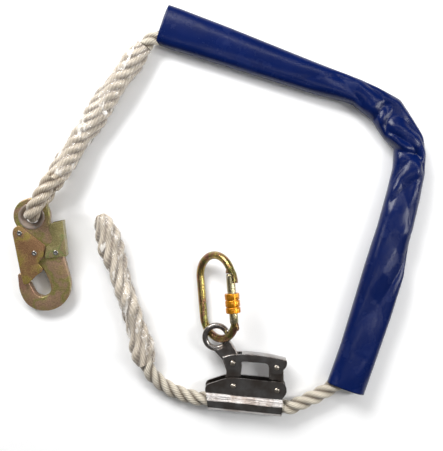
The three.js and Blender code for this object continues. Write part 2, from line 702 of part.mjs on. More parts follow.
function buildRope() {
  const group = new THREE.Group();
  const held = [[-31.1, GRAB_Y, GRAB_Z], [58, GRAB_Y, GRAB_Z]];
  const filmOut = SPLICE_R + GAP + FILM;
  group.add(
    piece("rope_in_grab", tube(held, ROPE_R, 2, 12), ropeWhite),
    piece("rope_tail", tube(TAIL_ROUTE, ROPE_R, 7), ropeWhite),
    piece("tail_splice", tube(TAIL_SPLICE_ROUTE, SPLICE_R, 9), ropeWhite),
    piece("tail_shrink_tube", tube(TAIL_SPLICE_ROUTE, filmOut, 9, 10, SPLICE_R + GAP), film),
    piece("rope_main", tube(MAIN_ROUTE, ROPE_R, 36), ropeWhite),
    piece("hook_splice", tube(HOOK_SPLICE_ROUTE, SPLICE_R, 10), ropeWhite),
    piece("splice_shrink_tube", tube(HOOK_SPLICE_ROUTE, filmOut, 10, 10, SPLICE_R + GAP), film),
    piece("rope_sleeve", coverTube(), blueCover),
  );
  return group;
}

const ropeGrab = new THREE.Group();
ropeGrab.add(buildGrab(), buildCarabiner(), buildHook(), buildRope());
export default ropeGrab;
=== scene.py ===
# Rope grab on a work-positioning lanyard: grab, screw-gate carabiner, laid rope, cover and snap hook.
# Metres, +Z up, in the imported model's frame. Section sizes are in millimetres and placed with MM.
import json
import math

import bpy
import numpy as np
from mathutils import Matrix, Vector
from mathutils.geometry import delaunay_2d_cdt


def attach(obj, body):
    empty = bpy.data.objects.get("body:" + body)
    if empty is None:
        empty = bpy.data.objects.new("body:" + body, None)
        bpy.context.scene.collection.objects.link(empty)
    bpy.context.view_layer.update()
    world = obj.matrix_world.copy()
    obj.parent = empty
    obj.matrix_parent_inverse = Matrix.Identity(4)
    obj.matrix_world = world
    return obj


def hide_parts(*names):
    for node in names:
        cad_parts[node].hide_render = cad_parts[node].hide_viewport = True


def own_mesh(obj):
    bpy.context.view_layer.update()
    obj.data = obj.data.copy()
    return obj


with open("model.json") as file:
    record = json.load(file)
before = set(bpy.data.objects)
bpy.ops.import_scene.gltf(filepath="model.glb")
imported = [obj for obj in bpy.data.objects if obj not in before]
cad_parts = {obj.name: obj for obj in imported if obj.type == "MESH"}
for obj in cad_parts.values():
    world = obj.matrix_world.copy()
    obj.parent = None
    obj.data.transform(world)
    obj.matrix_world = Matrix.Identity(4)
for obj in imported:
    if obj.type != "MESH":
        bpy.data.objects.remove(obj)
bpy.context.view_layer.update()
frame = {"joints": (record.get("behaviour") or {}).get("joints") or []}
MM = 0.001

# ---- camera ----
# It looks straight down on the lanyard laid out on a table, turned a little so that the rope
# channel runs down to the right.
VIEW_CENTRE = (-0.0340, 0.1205)
VIEW_HEIGHT = 0.780
VIEW_WIDTH = 0.5161  # of floor, across the picture
VIEW_TURN = math.radians(5.8)
SENSOR = 36.0



def added(name, data):
    """A new object with that data, in the scene."""
    made = bpy.data.objects.new(name, data)
    bpy.context.scene.collection.objects.link(made)
    return made


camera_data = bpy.data.cameras.new("camera")
camera_data.sensor_fit = "HORIZONTAL"
camera_data.sensor_width = SENSOR
camera_data.lens = SENSOR * VIEW_HEIGHT / VIEW_WIDTH
camera = added("camera", camera_data)
camera.location = (*VIEW_CENTRE, VIEW_HEIGHT)
camera.rotation_euler = (0, 0, VIEW_TURN)
bpy.context.scene.camera = camera


# ---- rope ----
# Three-strand polyamide rope, 16 mm, laid right-handed: fine yarns are twisted into strands and
# the strands into the rope, so the yarns on its surface run nearly along it. Each strand is
# flattened against its neighbours and the grooves between them are shallow.
ROPE_RADIUS = 0.008
STRAND_SWELL = 1.04  # its strands' crowns stand this far past the nominal radius
ROPE_PITCH = 0.046  # length of one full turn of a strand
GRAB_ENDS = ((-0.0311, -0.0794, 0.0111), (0.058, -0.0794, 0.0111))
TAIL_ROUTE = [
    (-0.0314, -0.0794, 0.0111), (-0.036, -0.0794, 0.0111), (-0.044, -0.0795, 0.0102),
    (-0.054, -0.0781, 0.009), (-0.065, -0.0756, 0.0082), (-0.0765, -0.0716, 0.0084),
    (-0.0875, -0.065, 0.0096), (-0.095, -0.0585, 0.0114), (-0.0999, -0.0528, 0.013),
    (-0.103, -0.0466, 0.0132),
]
INSIDE_TAIL_SPLICE = (-0.1075, -0.036, 0.0137)  # the rope runs on this far into its splice
MAIN_ROUTE = [
    (0.0583, -0.0794, 0.0111), (0.063, -0.0794, 0.0111), (0.069, -0.0778, 0.0104),
    (0.077, -0.0736, 0.0093), (0.0855, -0.0688, 0.0089), (0.094, -0.0636, 0.009),
    (0.1025, -0.0579, 0.0092), (0.1105, -0.0515, 0.0096), (0.1186, -0.0438, 0.0104),
    (0.1245, -0.031, 0.0104), (0.131, -0.010, 0.0104), (0.1385, 0.018, 0.0104),
    (0.1465, 0.052, 0.0104), (0.1535, 0.086, 0.0104), (0.160, 0.120, 0.0104),
    (0.1665, 0.152, 0.0104), (0.171, 0.180, 0.0104), (0.1715, 0.206, 0.0104),
    (0.165, 0.232, 0.0104), (0.150, 0.255, 0.0104), (0.127, 0.272, 0.0104),
    (0.100, 0.286, 0.0104), (0.066, 0.296, 0.0104), (0.030, 0.305, 0.0104),
    (-0.010, 0.314, 0.0104), (-0.052, 0.323, 0.0104), (-0.085, 0.329, 0.0104),
    (-0.107, 0.331, 0.0104), (-0.121, 0.3299, 0.0108), (-0.131, 0.3265, 0.012),
    (-0.1375, 0.3222, 0.0132), (-0.1417, 0.3159, 0.0133),
]


def length_along(line):
    """Distance from the line's first point to each of its points."""
    return np.concatenate([[0], np.cumsum(np.linalg.norm(np.diff(line, axis=0), axis=1))])


def respaced(line, step):
    """The line again with evenly spaced points: each coordinate is interpolated over arc length."""
    along = length_along(line)
    at = np.linspace(0, along[-1], math.ceil(along[-1] / step) + 1)
    return np.stack([np.interp(at, along, line[:, k]) for k in range(3)], axis=1)


def route_curve(points, step):
    """A centripetal Catmull-Rom curve through the points, as points step apart. Between two
    neighbours it is the cubic Hermite curve whose end slopes come from three chords, each
    weighted by the square root of its length."""
    p = np.asarray(points, float)
    p = np.vstack([2 * p[0] - p[1], p, 2 * p[-1] - p[-2]])
    span = np.sqrt(np.linalg.norm(np.diff(p, axis=0), axis=1))[:, None]
    chord = np.diff(p, axis=0) / span
    across = (p[2:] - p[:-2]) / (span[1:] + span[:-1])
    slope = chord[:-1] - across + chord[1:]
    u = np.linspace(0, 1, 24, endpoint=False)[:, None]
    start, end = p[1:-2, None], p[2:-1, None]
    leaving, arriving = (slope[:-1] * span[1:-1])[:, None], (slope[1:] * span[1:-1])[:, None]
    fine = (2 * u**3 - 3 * u**2 + 1) * start + (u**3 - 2 * u**2 + u) * leaving
    fine = fine + (3 * u**2 - 2 * u**3) * end + (u**3 - u**2) * arriving
    return respaced(np.vstack([fine.reshape(-1, 3), p[-2]]), step)


def directions(line, up=(0, 0, 1)):
    """(side, lift) unit vectors across the line at each point: side = up x tangent,
    lift = tangent x side."""
    tangent = np.gradient(line, axis=0)
    tangent /= np.linalg.norm(tangent, axis=1, keepdims=True)
    side = np.cross(np.asarray(up, float), tangent)
    side /= np.linalg.norm(side, axis=1, keepdims=True)
    return side, np.cross(tangent, side)


def piece(name, vertices, faces, body, replaced=(), slot=None, smooth=35, material=None):
    """A mesh object at the origin from points and faces, shaded smooth below an angle."""
    mesh = bpy.data.meshes.new(name)
    mesh.from_pydata(np.asarray(vertices).tolist(), [], [list(f) for f in faces])
    mesh.update()
    mesh.polygons.foreach_set("use_smooth", np.ones(len(mesh.polygons), bool))
    mesh.set_sharp_from_angle(angle=math.radians(smooth))
    made = added(name, mesh)
    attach(made, body)
    if replaced:
        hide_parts(*replaced)
    if material:
        mesh.materials.append(material)
    return made


def grid_faces(rows, columns, wrap=True):
    """Quads of a grid of points, rows along and columns around, facing away from the line."""
    i = np.arange(rows - 1)[:, None]
    j = np.arange(columns if wrap else columns - 1)[None, :]
    k = (j + 1) % columns
    corners = [i * columns + j, i * columns + k, (i + 1) * columns + k, (i + 1) * columns + j]
    return np.stack(corners, axis=-1).reshape(-1, 4)


def round_angles(count):
    """That many equal steps of a full turn, from 0."""
    return np.linspace(0, 2 * np.pi, count, endpoint=False)


def spokes(line, columns, up=(0, 0, 1)):
    """Unit vectors away from the line at each of its points: cos a * side + sin a * lift."""
    side, lift = directions(line, up)
    angle = round_angles(columns)[None, :, None]
    return np.cos(angle) * side[:, None] + np.sin(angle) * lift[:, None]


def closed_grid(rings, start, stop):
    """Rings of points with a fan of triangles to a centre point at each end."""
    rows, columns = rings.shape[:2]
    first, end = rows * columns, (rows - 1) * columns
    j = np.arange(columns)
    k = (j + 1) % columns
    fans = np.stack([np.full(columns, first), k, j, np.full(columns, first + 1), end + j, end + k], 1)
    faces = grid_faces(rows, columns).tolist() + fans.reshape(-1, 3).tolist()
    return np.vstack([rings.reshape(-1, 3), start, stop]), faces


def tube_surface(line, radius, columns, up=(0, 0, 1)):
    """Points around a line: line + radius * spoke, where radius may depend on the place along
    (rows) and around (columns). Its ends are closed."""
    radius = np.broadcast_to(radius, (len(line), columns))
    return closed_grid(line[:, None] + radius[..., None] * spokes(line, columns, up), line[0], line[-1])


def strand_shape(angle, count, strand):
    """Outer radius, as a share of the rope's, of count round strands side by side: in each
    sector the far side of a circle of radius strand whose centre is 1 - strand out."""
    sector = 2 * np.pi / count
    off = (angle + sector / 2) % sector - sector / 2
    out = 1 - strand
    return out * np.cos(off) + np.sqrt(np.maximum(strand**2 - (out * np.sin(off)) ** 2, 0))


def corner_points(mesh):
    """The number of the point at each face corner."""
    index = np.zeros(len(mesh.loops), np.int32)
    mesh.loops.foreach_get("vertex_index", index)
    return index


def add_map(mesh, name, uv):
    """A UV map from a pair of distances for each face corner."""
    mesh.uv_layers.new(name=name).data.foreach_set("uv", uv.astype(np.float32).ravel())


def lay_map(made, line, columns, shape):
    """UV map: metres along the line and metres around it; and the depth of the groove, 0 to 1, which the
    rope's material darkens as painted shade.
    """
    mesh = made.data
    count = len(line) * columns
    index = corner_points(mesh)
    inside = np.minimum(index, count - 1)
    along = length_along(line)[inside // columns]
    around = (inside % columns) / columns
    first = np.zeros(len(mesh.polygons), np.int32)
    mesh.polygons.foreach_get("loop_start", first)
    face = np.repeat(np.arange(len(first)), np.diff(np.append(first, len(index))))
    low = np.full(len(first), 2.0)
    np.minimum.at(low, face, around)
    high = np.full(len(first), -1.0)
    np.maximum.at(high, face, around)
    around = np.where((high - low > 0.5)[face] & (around < 0.5), around + 1, around)
    add_map(mesh, "lay", np.stack([along, around * 2 * np.pi * ROPE_RADIUS], axis=1))
    groove = np.ones(len(mesh.vertices), np.float32)
    flat = np.broadcast_to(shape, (len(line), columns)).ravel()
    groove[:count] = (flat.max() - flat) / max(float(flat.max() - flat.min()), 1e-6)
    mesh.attributes.new("groove", "FLOAT", "POINT").data.foreach_set("value", groove)


def on_table(points, clear=0.0003):
    """The points again with none of them lower than clear above the table's top."""
    points = np.array(points)
    points[..., 2] = np.maximum(points[..., 2], clear)
    return points


def laid_rope(name, line, nodes, material, start=0.0, up=(0, 0, 1), swell=STRAND_SWELL):
    """Rope along a line: the strands' shape turned by 2 pi * distance / pitch."""
    columns = 60
    turn = 2 * np.pi * (length_along(line) + start)[:, None] / ROPE_PITCH
    shape = strand_shape(round_angles(columns)[None, :] - turn, count=3, strand=0.57)
    slack = 1 + 0.018 * np.sin(turn * 0.37 + 1) + 0.012 * np.sin(turn * 1.9)
    points, faces = tube_surface(line, ROPE_RADIUS * swell * shape * slack, columns, up)
    made = piece(name, on_table(points), faces, "grab", nodes, "rope", 75, material)
    lay_map(made, line, columns, shape)
    return made


class Flow:
    """A node socket in a sum: each operator on it adds a Math node to the material."""

    def __init__(self, tree, socket=None):
        self.tree = tree
        self.socket = socket

    def node(self, kind, settings=None, inputs=None, output=0):
        """Adds a node, applies its settings, then sets or links its inputs."""
        made = self.tree.nodes.new(kind)
        for key, value in (settings or {}).items():
            if key == "stops":
                while len(made.color_ramp.elements) < len(value):
                    made.color_ramp.elements.new(1.0)
                for stop, (place, colour) in zip(made.color_ramp.elements, value):
                    stop.position = place
                    stop.color = (*colour, 1)
            else:
                setattr(made, key, value)
        for key, value in (inputs or {}).items():
            if isinstance(value, Flow):
                self.tree.links.new(value.socket, made.inputs[key])
            else:
                made.inputs[key].default_value = value
        return Flow(self.tree, made.outputs[output])

    def maths(self, operation, *values, clamp=False):
        settings = {"operation": operation, "use_clamp": clamp}
        return self.node("ShaderNodeMath", settings, dict(enumerate(values)))

    def __add__(self, other):
        return self.maths("ADD", self, other)

    __radd__ = __add__

    def __mul__(self, other):
        return self.maths("MULTIPLY", self, other)

    __rmul__ = __mul__

    def __sub__(self, other):
        return self.maths("SUBTRACT", self, other)

    def __rsub__(self, other):
        return self.maths("SUBTRACT", other, self)

    def __pow__(self, other):
        return self.maths("POWER", self, other)

    def sine(self):
        return self.maths("SINE", self)

    def clamped(self):
        return self.maths("ADD", self, 0.0, clamp=True)

    def above(self, level, gain):
        """How far it stands above a level, times a gain, held to 0 to 1."""
        return ((self - level) * gain).clamped()

    def place(self):
        """Where a point of the piece is, in metres."""
        return self.node("ShaderNodeTexCoord", output=3)

    def surface_map(self, name):
        """A UV map as a vector, and its distances along and around."""
        vector = self.node("ShaderNodeUVMap", {"uv_map": name})
        along = self.node("ShaderNodeSeparateXYZ", {}, {0: vector})
        return vector, along, Flow(self.tree, along.socket.node.outputs[1])

    def noise(self, scale, detail=3.0, stretch=(1, 1, 1)):
        """Noise over this vector, 0 to 1, drawn out along an axis by a small stretch value."""
        placed = self.node("ShaderNodeMapping", {}, {"Vector": self, "Scale": stretch})
        inputs = {"Vector": placed, "Scale": scale, "Detail": detail, "Roughness": 0.55}
        return self.node("ShaderNodeTexNoise", {}, inputs)

    def ramp(self, *stops):
        return self.node("ShaderNodeValToRGB", {"stops": stops}, {0: self})

    def mix(self, first, second):
        """Colour mix of two colours by this factor."""
        inputs = {0: self, 6: first, 7: second}
        return self.node("ShaderNodeMix", {"data_type": "RGBA"}, inputs, output=2)


def rgb(red, green, blue):
    return (red, green, blue, 1.0)


def scaled(colour, *factors):
    """A colour times one factor, or times one for each of its channels."""
    return rgb(*(float(c) for c in np.array(colour) * factors))


def finish(name, **fixed):
    """A new material: its surface shader with fixed values on their own sockets, and a Flow."""
    material = bpy.data.materials.new(name)
    material.use_nodes = True
    shader = material.node_tree.nodes["Principled BSDF"]
    for key, value in fixed.items():
        shader.inputs[key.replace("_", " ")].default_value = value
    return material, shader, Flow(material.node_tree)


def varied(shader, flow, **inputs):
    """Links what changes over the surface to the shader's sockets."""
    for key, value in inputs.items():
        flow.tree.links.new(value.socket, shader.inputs[key.replace("_", " ")])


def relief(flow, height, distance, strength=1.0):
    """A Bump node's normal from a height in 0 to 1 and a distance in metres."""
    inputs = {"Height": height, "Distance": distance, "Strength": strength}
    return flow.node("ShaderNodeBump", {}, inputs)


def rope_finish(name, pale, shade, coat=0.0, yarns=0.0011):
    """Yarn ridges along the rope, thread grain, painted shade in the strands' grooves and between the
    yarns, and soiled patches.
    """
    material, shader, flow = finish(
        name, Roughness=0.62, Coat_Weight=coat, Coat_Roughness=0.12, Sheen_Weight=0.25)
    lay, along, around = flow.surface_map("lay")
    wobble = lay.noise(260, 2.0, (0.25, 1, 1))
    yarn = (around * (2 * math.pi / yarns) + along * 330 + wobble * 5).sine() * 0.5 + 0.5
    fibre = lay.noise(2200, 2.0, (0.16, 1, 1))
    groove = flow.node("ShaderNodeAttribute", {"attribute_name": "groove"}, output=2)
    soil = flow.place().noise(55, 4.0)
    # Painted shade: the strands' grooves (groove) and the gaps between yarn ridges (1 - yarn) are darkened
    # towards the shade colour; the fibre grain darkens it in fine random streaks.
    dark = ((groove ** 1.2) * 0.85 + (1 - yarn) * 0.42 + (1 - fibre) * 0.45 - 0.28).clamped()
    groove_shaded_colour = dark.mix(rgb(*pale), rgb(*shade))
    stained = soil.above(0.5, 2.2) * 0.45
    height = yarn * 0.7 + fibre * 0.3
    varied(shader, flow, Base_Color=stained.mix(groove_shaded_colour, scaled(shade, 1.35, 1.28, 1.1)),
           Normal=relief(flow, height, 0.0008, 0.9), Roughness=0.45 + fibre * 0.35)
    return material


bare_rope = rope_finish("laid_polyamide", (0.66, 0.60, 0.49), (0.095, 0.065, 0.038), yarns=0.0025)

held_line = respaced(np.array(GRAB_ENDS), step=0.0015)
held_length = length_along(held_line)[-1]
laid_rope("rope_in_channel", held_line, ["rope_in_grab"], bare_rope)
tail_line = route_curve([INSIDE_TAIL_SPLICE, *TAIL_ROUTE[::-1]], step=0.0012)
tail_length = length_along(tail_line)[-1]
rope_tail = laid_rope("rope_tail_bare", tail_line, ["rope_tail"], bare_rope, start=-tail_length)
main_line = route_curve(MAIN_ROUTE, step=0.0013)
rope_main = laid_rope("rope_to_hook", main_line, ["rope_main"], bare_rope, start=held_length)

# ---- splices ----
# Each rope end is unlaid and its three strands are tucked back under the rope's own, so a splice
# shows six strands, thicker and lumpier than the rope. The hook's splice holds its eye; the
# tail's is a stopper knot of strands that can't pass the grab.
SPLICE_RADIUS = 0.0128
TAIL_SPLICE_PITCH = 0.135  # length of one full turn of a tucked strand
HOOK_SPLICE_PITCH = 0.104
TAIL_SPLICE_ROUTE = [
    (-0.1034, -0.0458, 0.0137), (-0.1075, -0.036, 0.0137), (-0.1135, -0.019, 0.0137),
    (-0.121, -0.002, 0.0137), (-0.128, 0.015, 0.0137), (-0.1355, 0.032, 0.0137),
    (-0.1435, 0.050, 0.0137), (-0.1505, 0.068, 0.0137), (-0.1585, 0.086, 0.0137),
    (-0.1655, 0.104, 0.0137), (-0.173, 0.119, 0.0137),
]
HOOK_SPLICE_ROUTE = [
    (-0.1424, 0.3153, 0.0137), (-0.149, 0.305, 0.0137), (-0.1585, 0.2885, 0.0137),
    (-0.168, 0.2725, 0.0137), (-0.1775, 0.2565, 0.0137), (-0.185, 0.2415, 0.0137),
    (-0.192, 0.227, 0.0138), (-0.200, 0.2125, 0.014), (-0.2075, 0.1975, 0.0148),
    (-0.2145, 0.1825, 0.0164), (-0.220, 0.170, 0.0186), (-0.2239, 0.161, 0.0204),
]
INSIDE_EYE = [(-0.2278, 0.1522, 0.0217), (-0.2310, 0.1448, 0.0228)]  # on between the eye's two sides


def splice_shape(line, columns, swell, pitch, lump, seed):
    """Radius of a splice over its length and around it: six strands turned by distance / pitch,
    swelling where each passes over its neighbour, times the splice's own swell along."""
    along = length_along(line)[:, None]
    angle = round_angles(columns)[None, :]
    turned = angle - 2 * np.pi * along / pitch
    strands = strand_shape(turned, count=6, strand=0.42)
    number = np.round(turned * 6 / (2 * np.pi))
    over = np.sin(2 * np.pi * along / (pitch * 0.32) + number * 2.1 + seed)
    wave = np.sin(angle + along * 61 + seed) * np.sin(along * 97 + 2 * seed)
    return swell[:, None] * (strands + lump * over * (strands - 0.6) + 0.035 * wave), strands


def eased(value):
    """3 v^2 - 2 v^3, from 0 to 1 with flat ends."""
    value = np.clip(value, 0, 1)
    return value * value * (3 - 2 * value)


def splice(name, route, nodes, material, swell_of, pitch, lump, seed):
    """A splice's rope and the radius that its film is shrunk to."""
    line = route_curve(route, step=0.0011)
    columns = 72
    share = length_along(line) / length_along(line)[-1]
    radius, strands = splice_shape(line, columns, swell_of(share), pitch, lump, seed)
    points, faces = tube_surface(line, radius, columns)
    made = piece(name, on_table(points), faces, "grab", nodes, "rope", 75, material)
    lay_map(made, line, columns, strands)
    return made, line, radius


def tail_swell(share):
    """Thin where it leaves the rope, then full, and rounded off over its last twelfth."""
    tip = np.sqrt(np.clip(1 - ((share - 0.915) / 0.095) ** 2, 0.05, 1))
    rounded = np.where(share > 0.915, tip, 1)
    grow = 0.74 + 0.26 * eased(share / 0.1)
    return SPLICE_RADIUS * grow * rounded * (0.91 + 0.09 * np.sin(share * 17 + 0.6))


def hook_swell(share):
    """Thin where it leaves the rope, then full, and drawn in towards the eye."""
    grow = 0.7 + 0.3 * eased(share / 0.12)
    return SPLICE_RADIUS * grow * (1.0 - 0.2 * eased((share - 0.8) / 0.2))


splice_rope = rope_finish(
    "spliced_polyamide", (0.58, 0.50, 0.39), (0.14, 0.095, 0.058), coat=0.5, yarns=0.0022)
tail_splice, tail_splice_line, tail_radius = splice(
    "tail_stopper_splice", TAIL_SPLICE_ROUTE, ["tail_splice"], splice_rope, tail_swell,
    pitch=TAIL_SPLICE_PITCH, lump=0.55, seed=0.4)
hook_splice, hook_splice_line, hook_radius = splice(
    "hook_eye_splice", HOOK_SPLICE_ROUTE + INSIDE_EYE, ["hook_splice"], splice_rope, hook_swell,
    pitch=HOOK_SPLICE_PITCH, lump=0.3, seed=2.0)

# ---- shrink film ----
# A clear heat-shrink tube over each splice keeps its strands in. It is drawn tight over the
# strands' crowns, bridges their grooves and is glossy, with bubbles and white painted highlight streaks.
FILM_GAP = 0.0003
FILM_WALL = 0.00025


def walled(made, thickness, offset):
    """Gives an open surface a wall, outwards for an offset of 1 and inwards for -1."""
    wall = made.modifiers.new("wall", "SOLIDIFY")
    wall.thickness = thickness
    wall.offset = offset


def film(name, line, radius, nodes, last, first=0.0):
    """The splice's surface, smoothed around and along, a little outside it, from first to last
    share of its length."""
    columns = radius.shape[1]
    crown = np.maximum(radius, 0)
    for shift in range(-4, 5):
        crown = np.maximum(crown, np.roll(radius, shift, axis=1) * (1 - 0.004 * shift * shift))
    kernel = np.array([1, 2, 3, 2, 1]) / 9
    crown = sum(w * np.roll(crown, k - 2, axis=1) for k, w in enumerate(kernel))
    low, high = int(first * len(line)), int(last * len(line))
    kept, crown = line[low:high], crown[low:high] + FILM_GAP
    ends = eased(np.minimum(np.arange(len(kept)), np.arange(len(kept))[::-1]) / 5)[:, None]
    crown = crown * ends + (radius[low:high] + 0.0001) * (1 - ends)
    points = on_table(kept[:, None] + crown[..., None] * spokes(kept, columns)).reshape(-1, 3)
    made = piece(name, points, grid_faces(len(kept), columns), "grab", nodes, "clear_film", 80, clear_film)
    walled(made, FILM_WALL, 1)
    return made


def film_finish():
    """Mostly clear, with painted highlights as whiter, more opaque streaks along it, and a few bubbles."""
    material, shader, flow = finish(
        "shrink_film", Base_Color=rgb(0.92, 0.88, 0.82), Roughness=0.1, Coat_Weight=0.6,
        Coat_Roughness=0.04, IOR=1.5)
    place = flow.place()
    # Painted highlight: the streak mask makes the film's white base opaque in patches, standing in for
    # glossy reflections.
    streak = place.noise(110, 3.0, (1, 0.4, 1)).above(0.555, 9)
    haze = place.noise(30, 2.0)
    bubble = flow.node("ShaderNodeTexVoronoi", {}, {"Vector": place, "Scale": 105})
    ring = 1 - flow.maths("ABSOLUTE", (bubble - 0.12) * 22).clamped()
    height = place.noise(150, 3.0, (1, 0.6, 1)) + ring * 0.15
    varied(shader, flow, Alpha=(0.04 + streak * 0.6 + haze * 0.08 + ring * 0.3).clamped(),
           Normal=relief(flow, height, 0.0007, 0.6))
    return material


clear_film = film_finish()
tail_film = film("tail_shrink_film", tail_splice_line, tail_radius, ["tail_shrink_tube"], last=0.985)
hook_film = film("hook_shrink_film", hook_splice_line, hook_radius, ["splice_shrink_tube"], last=0.93)

# ---- protective cover ----
# A tube of navy PVC-coated polyester, 0.62 m long, that slides along the rope to guard it over a
# roof edge. It is one strip sewn into a tube; its seam allowance lies along the inner side with
# a double row of stitches. It lies flattened over the rope and is crushed at the bend.
# Its edges from the grab's end: outer x and y, inner x and y, all in mm. They kink at the bend.
COVER_EDGES = [
    (147.5, -55.8, 105.7, -45.8), (158.0, -10.7, 116.8, -0.9), (168.5, 37.1, 125.9, 45.7),
    (177.5, 84.8, 134.9, 92.2), (182.2, 132.7, 145.0, 138.7), (188.6, 176.0, 152.0, 180.5),
    (190.4, 202.8, 155.6, 206.0), (188.6, 226.0, 154.8, 229.0), (184.6, 244.3, 142.2, 238.5),
    (170.0, 264.0, 133.0, 249.5), (154.7, 283.4, 126.0, 259.0), (128.5, 294.6, 113.0, 267.5),
    (109.0, 301.2, 101.5, 275.0), (95.5, 305.2, 88.8, 277.2), (71.7, 311.5, 64.3, 280.9),
    (13.4, 328.3, 4.8, 292.9), (-46.0, 345.5, -55.6, 305.3), (-105.4, 361.8, -116.0, 317.4),
    (-119.0, 365.0, -129.4, 321.2),
]
COVER_HEIGHT = 0.0235
COVER_LEVEL = COVER_HEIGHT / 2 + 0.0001  # of its middle over the table
COVER_WALL = 0.0007
COVER_MEAN_RADIUS = 0.0175  # turns an angle into a distance round the cloth
COVER_GIRTH = 0.102  # distance round it in the weave's map
COVER_SQUARENESS = 0.8  # power of sine and cosine in its section: 1 is an ellipse
# Sharp creases pressed into the cloth: share of length and degrees around at each end (0 is the
# outer edge, 90 on top, 180 the inner edge), depth in mm and width in mm.
CREASES = [
    (0.40, 150, 0.47, 60, 2.6, 6), (0.43, 40, 0.50, 120, 2.8, 6), (0.455, 165, 0.455, 60, 3.0, 5),
    (0.475, 30, 0.53, 75, 2.4, 6), (0.50, 150, 0.545, 80, 2.8, 6), (0.52, 120, 0.60, 45, 2.2, 7),
    (0.545, 160, 0.56, 90, 3.2, 5), (0.36, 130, 0.41, 70, 2.0, 7), (0.33, 60, 0.40, 110, 1.8, 8),
    (0.60, 130, 0.66, 60, 1.5, 8), (0.64, 60, 0.71, 100, 0.9, 9), (0.70, 125, 0.90, 118, 0.5, 8),
]


def crease_depth(along, angle, total, round_it):
    """Sum over the creases of depth * exp(-distance / width) from the crease's line, in the flat
    cloth, sharp on the line itself. A low ridge stands beside each."""
    across = angle * round_it / (2 * np.pi)
    depth = np.zeros(np.broadcast(along, across).shape)
    for start, start_at, stop, stop_at, deep, wide in CREASES:
        a = np.array([start * total, math.radians(start_at) * round_it / (2 * np.pi)])
        b = np.array([stop * total, math.radians(stop_at) * round_it / (2 * np.pi)])
        d = b - a
        t = ((along - a[0]) * d[0] + (across - a[1]) * d[1]) / (d @ d)
        t = np.clip(t, 0, 1)
        gap = np.hypot(along - a[0] - t * d[0], across - a[1] - t * d[1])
        reach = wide * MM
        depth += deep * MM * (np.exp(-gap / reach * 1.3) - 0.35 * np.exp(-((gap / reach - 1.7) ** 2)))
    return depth


def crumple(along, across, length, width, lean, seed):
    """Flat triangles with sharp creases, -1 to 1: a lattice of random heights, leaning with the
    distance across, each cell split in two along its diagonal and filled linearly."""
    heights = np.random.default_rng(seed).uniform(-1, 1, (64, 32))
    u = along / length + lean * across / width + 0.22 * np.sin(across * 90 + along * 31)
    v = across / width + 0.18 * np.sin(along * 47 + seed)
    i, j = np.floor(u).astype(int), np.floor(v).astype(int)
    u, v = u - i, v - j

    def at(di, dj):
        return heights[(i + di) % 64, (j + dj) % 32]

    near = at(0, 0) + u * (at(1, 0) - at(0, 0)) + v * (at(0, 1) - at(0, 0))
    far = at(1, 1) + (1 - u) * (at(0, 1) - at(1, 1)) + (1 - v) * (at(1, 0) - at(1, 1))
    return np.where(u + v < 1, near, far)


def facets(along, across, total):
    """Flat-sided crumples, large ones all along and small ones at the bend."""
    share = along / total
    bend = np.exp(-(((share - 0.49) / 0.09) ** 2))
    walked = np.clip((0.47 - share) / 0.08, 0, 1)
    large = crumple(along, across, length=0.066, width=0.026, lean=0.7, seed=5)
    middle = crumple(along, across, length=0.041, width=0.017, lean=-0.9, seed=23)
    small = crumple(along, across, length=0.026, width=0.0155, lean=-0.6, seed=11)
    depth = (0.3 + 3.2 * walked + 1.2 * bend) * large + (0.12 + 1.5 * walked + 1.3 * bend) * middle
    return (depth + (0.08 + 1.0 * bend) * small) * MM


def cover_surface(columns=120, step=0.0018):
    """The tube as rows of points: a section between the two edges whose sides are half the width
    times cos^power and half the height times sin^power, pushed in by creases and facets."""
    edges = np.array(COVER_EDGES) * MM
    middle = (edges[:, :2] + edges[:, 2:]) / 2
    knots = np.column_stack([middle, np.full(len(middle), COVER_LEVEL)])
    knot_along = length_along(knots)
    total = knot_along[-1]
    along = np.linspace(0, total, math.ceil(total / step) + 1)
    soften = np.array([1, 3, 5, 3, 1]) / 13
    place = np.stack([np.interp(along, knot_along, edges[:, k]) for k in range(4)], axis=1)
    eased_place = np.stack([np.convolve(np.pad(c, 2, "reflect", reflect_type="odd"), soften, "valid")
                            for c in place.T], axis=1)
    outer, inner = eased_place[:, :2], eased_place[:, 2:]
    line = np.column_stack([(outer + inner) / 2, np.full(len(along), COVER_LEVEL)])
    half = np.column_stack([(outer - inner) / 2, np.zeros(len(along))])
    share = along / total
    high = COVER_HEIGHT / 2 * (1 - 0.05 * np.exp(-(((share - 1) / 0.04) ** 2)))[:, None]
    angle = round_angles(columns)[None, :]
    cosine, sine = np.cos(angle), np.sin(angle)
    x = np.sign(cosine) * np.abs(cosine) ** COVER_SQUARENESS
    y = high * np.sign(sine) * np.abs(sine) ** COVER_SQUARENESS
    around = 2 * np.pi * COVER_MEAN_RADIUS
    along = along[:, None]
    push = crease_depth(along, angle, total, around) * np.clip(sine * 1.6, 0, 1)
    push = push + facets(along, angle * COVER_MEAN_RADIUS, total) * np.clip(sine * 1.8 + 0.35, 0, 1)
    up = np.clip(np.abs(sine) ** 0.8 + 0.15, 0, 1)
    y = y - push * up
    wide = np.linalg.norm(half, axis=1)[:, None]
    x = x * (1 - 0.5 * push * (1 - up) / wide)
    points = line[:, None] + x[..., None] * half[:, None] + y[..., None] * np.array([0, 0, 1.0])
    return line, on_table(points, clear=0.0004)


def cloth_map(made, rows, columns, total):
    """UV map 'cloth': metres along the tube and around it."""
    index = corner_points(made.data)
    along = (index // columns) / (rows - 1) * total
    around = (index % columns) / columns
    around = around.reshape(-1, 4)
    wraps = (around.max(axis=1) - around.min(axis=1) > 0.5)[:, None] & (around < 0.5)
    around = np.where(wraps, around + 1, around).ravel() * COVER_GIRTH
    add_map(made.data, "cloth", np.stack([along, around], axis=1))


THREAD_PITCH = 0.0011


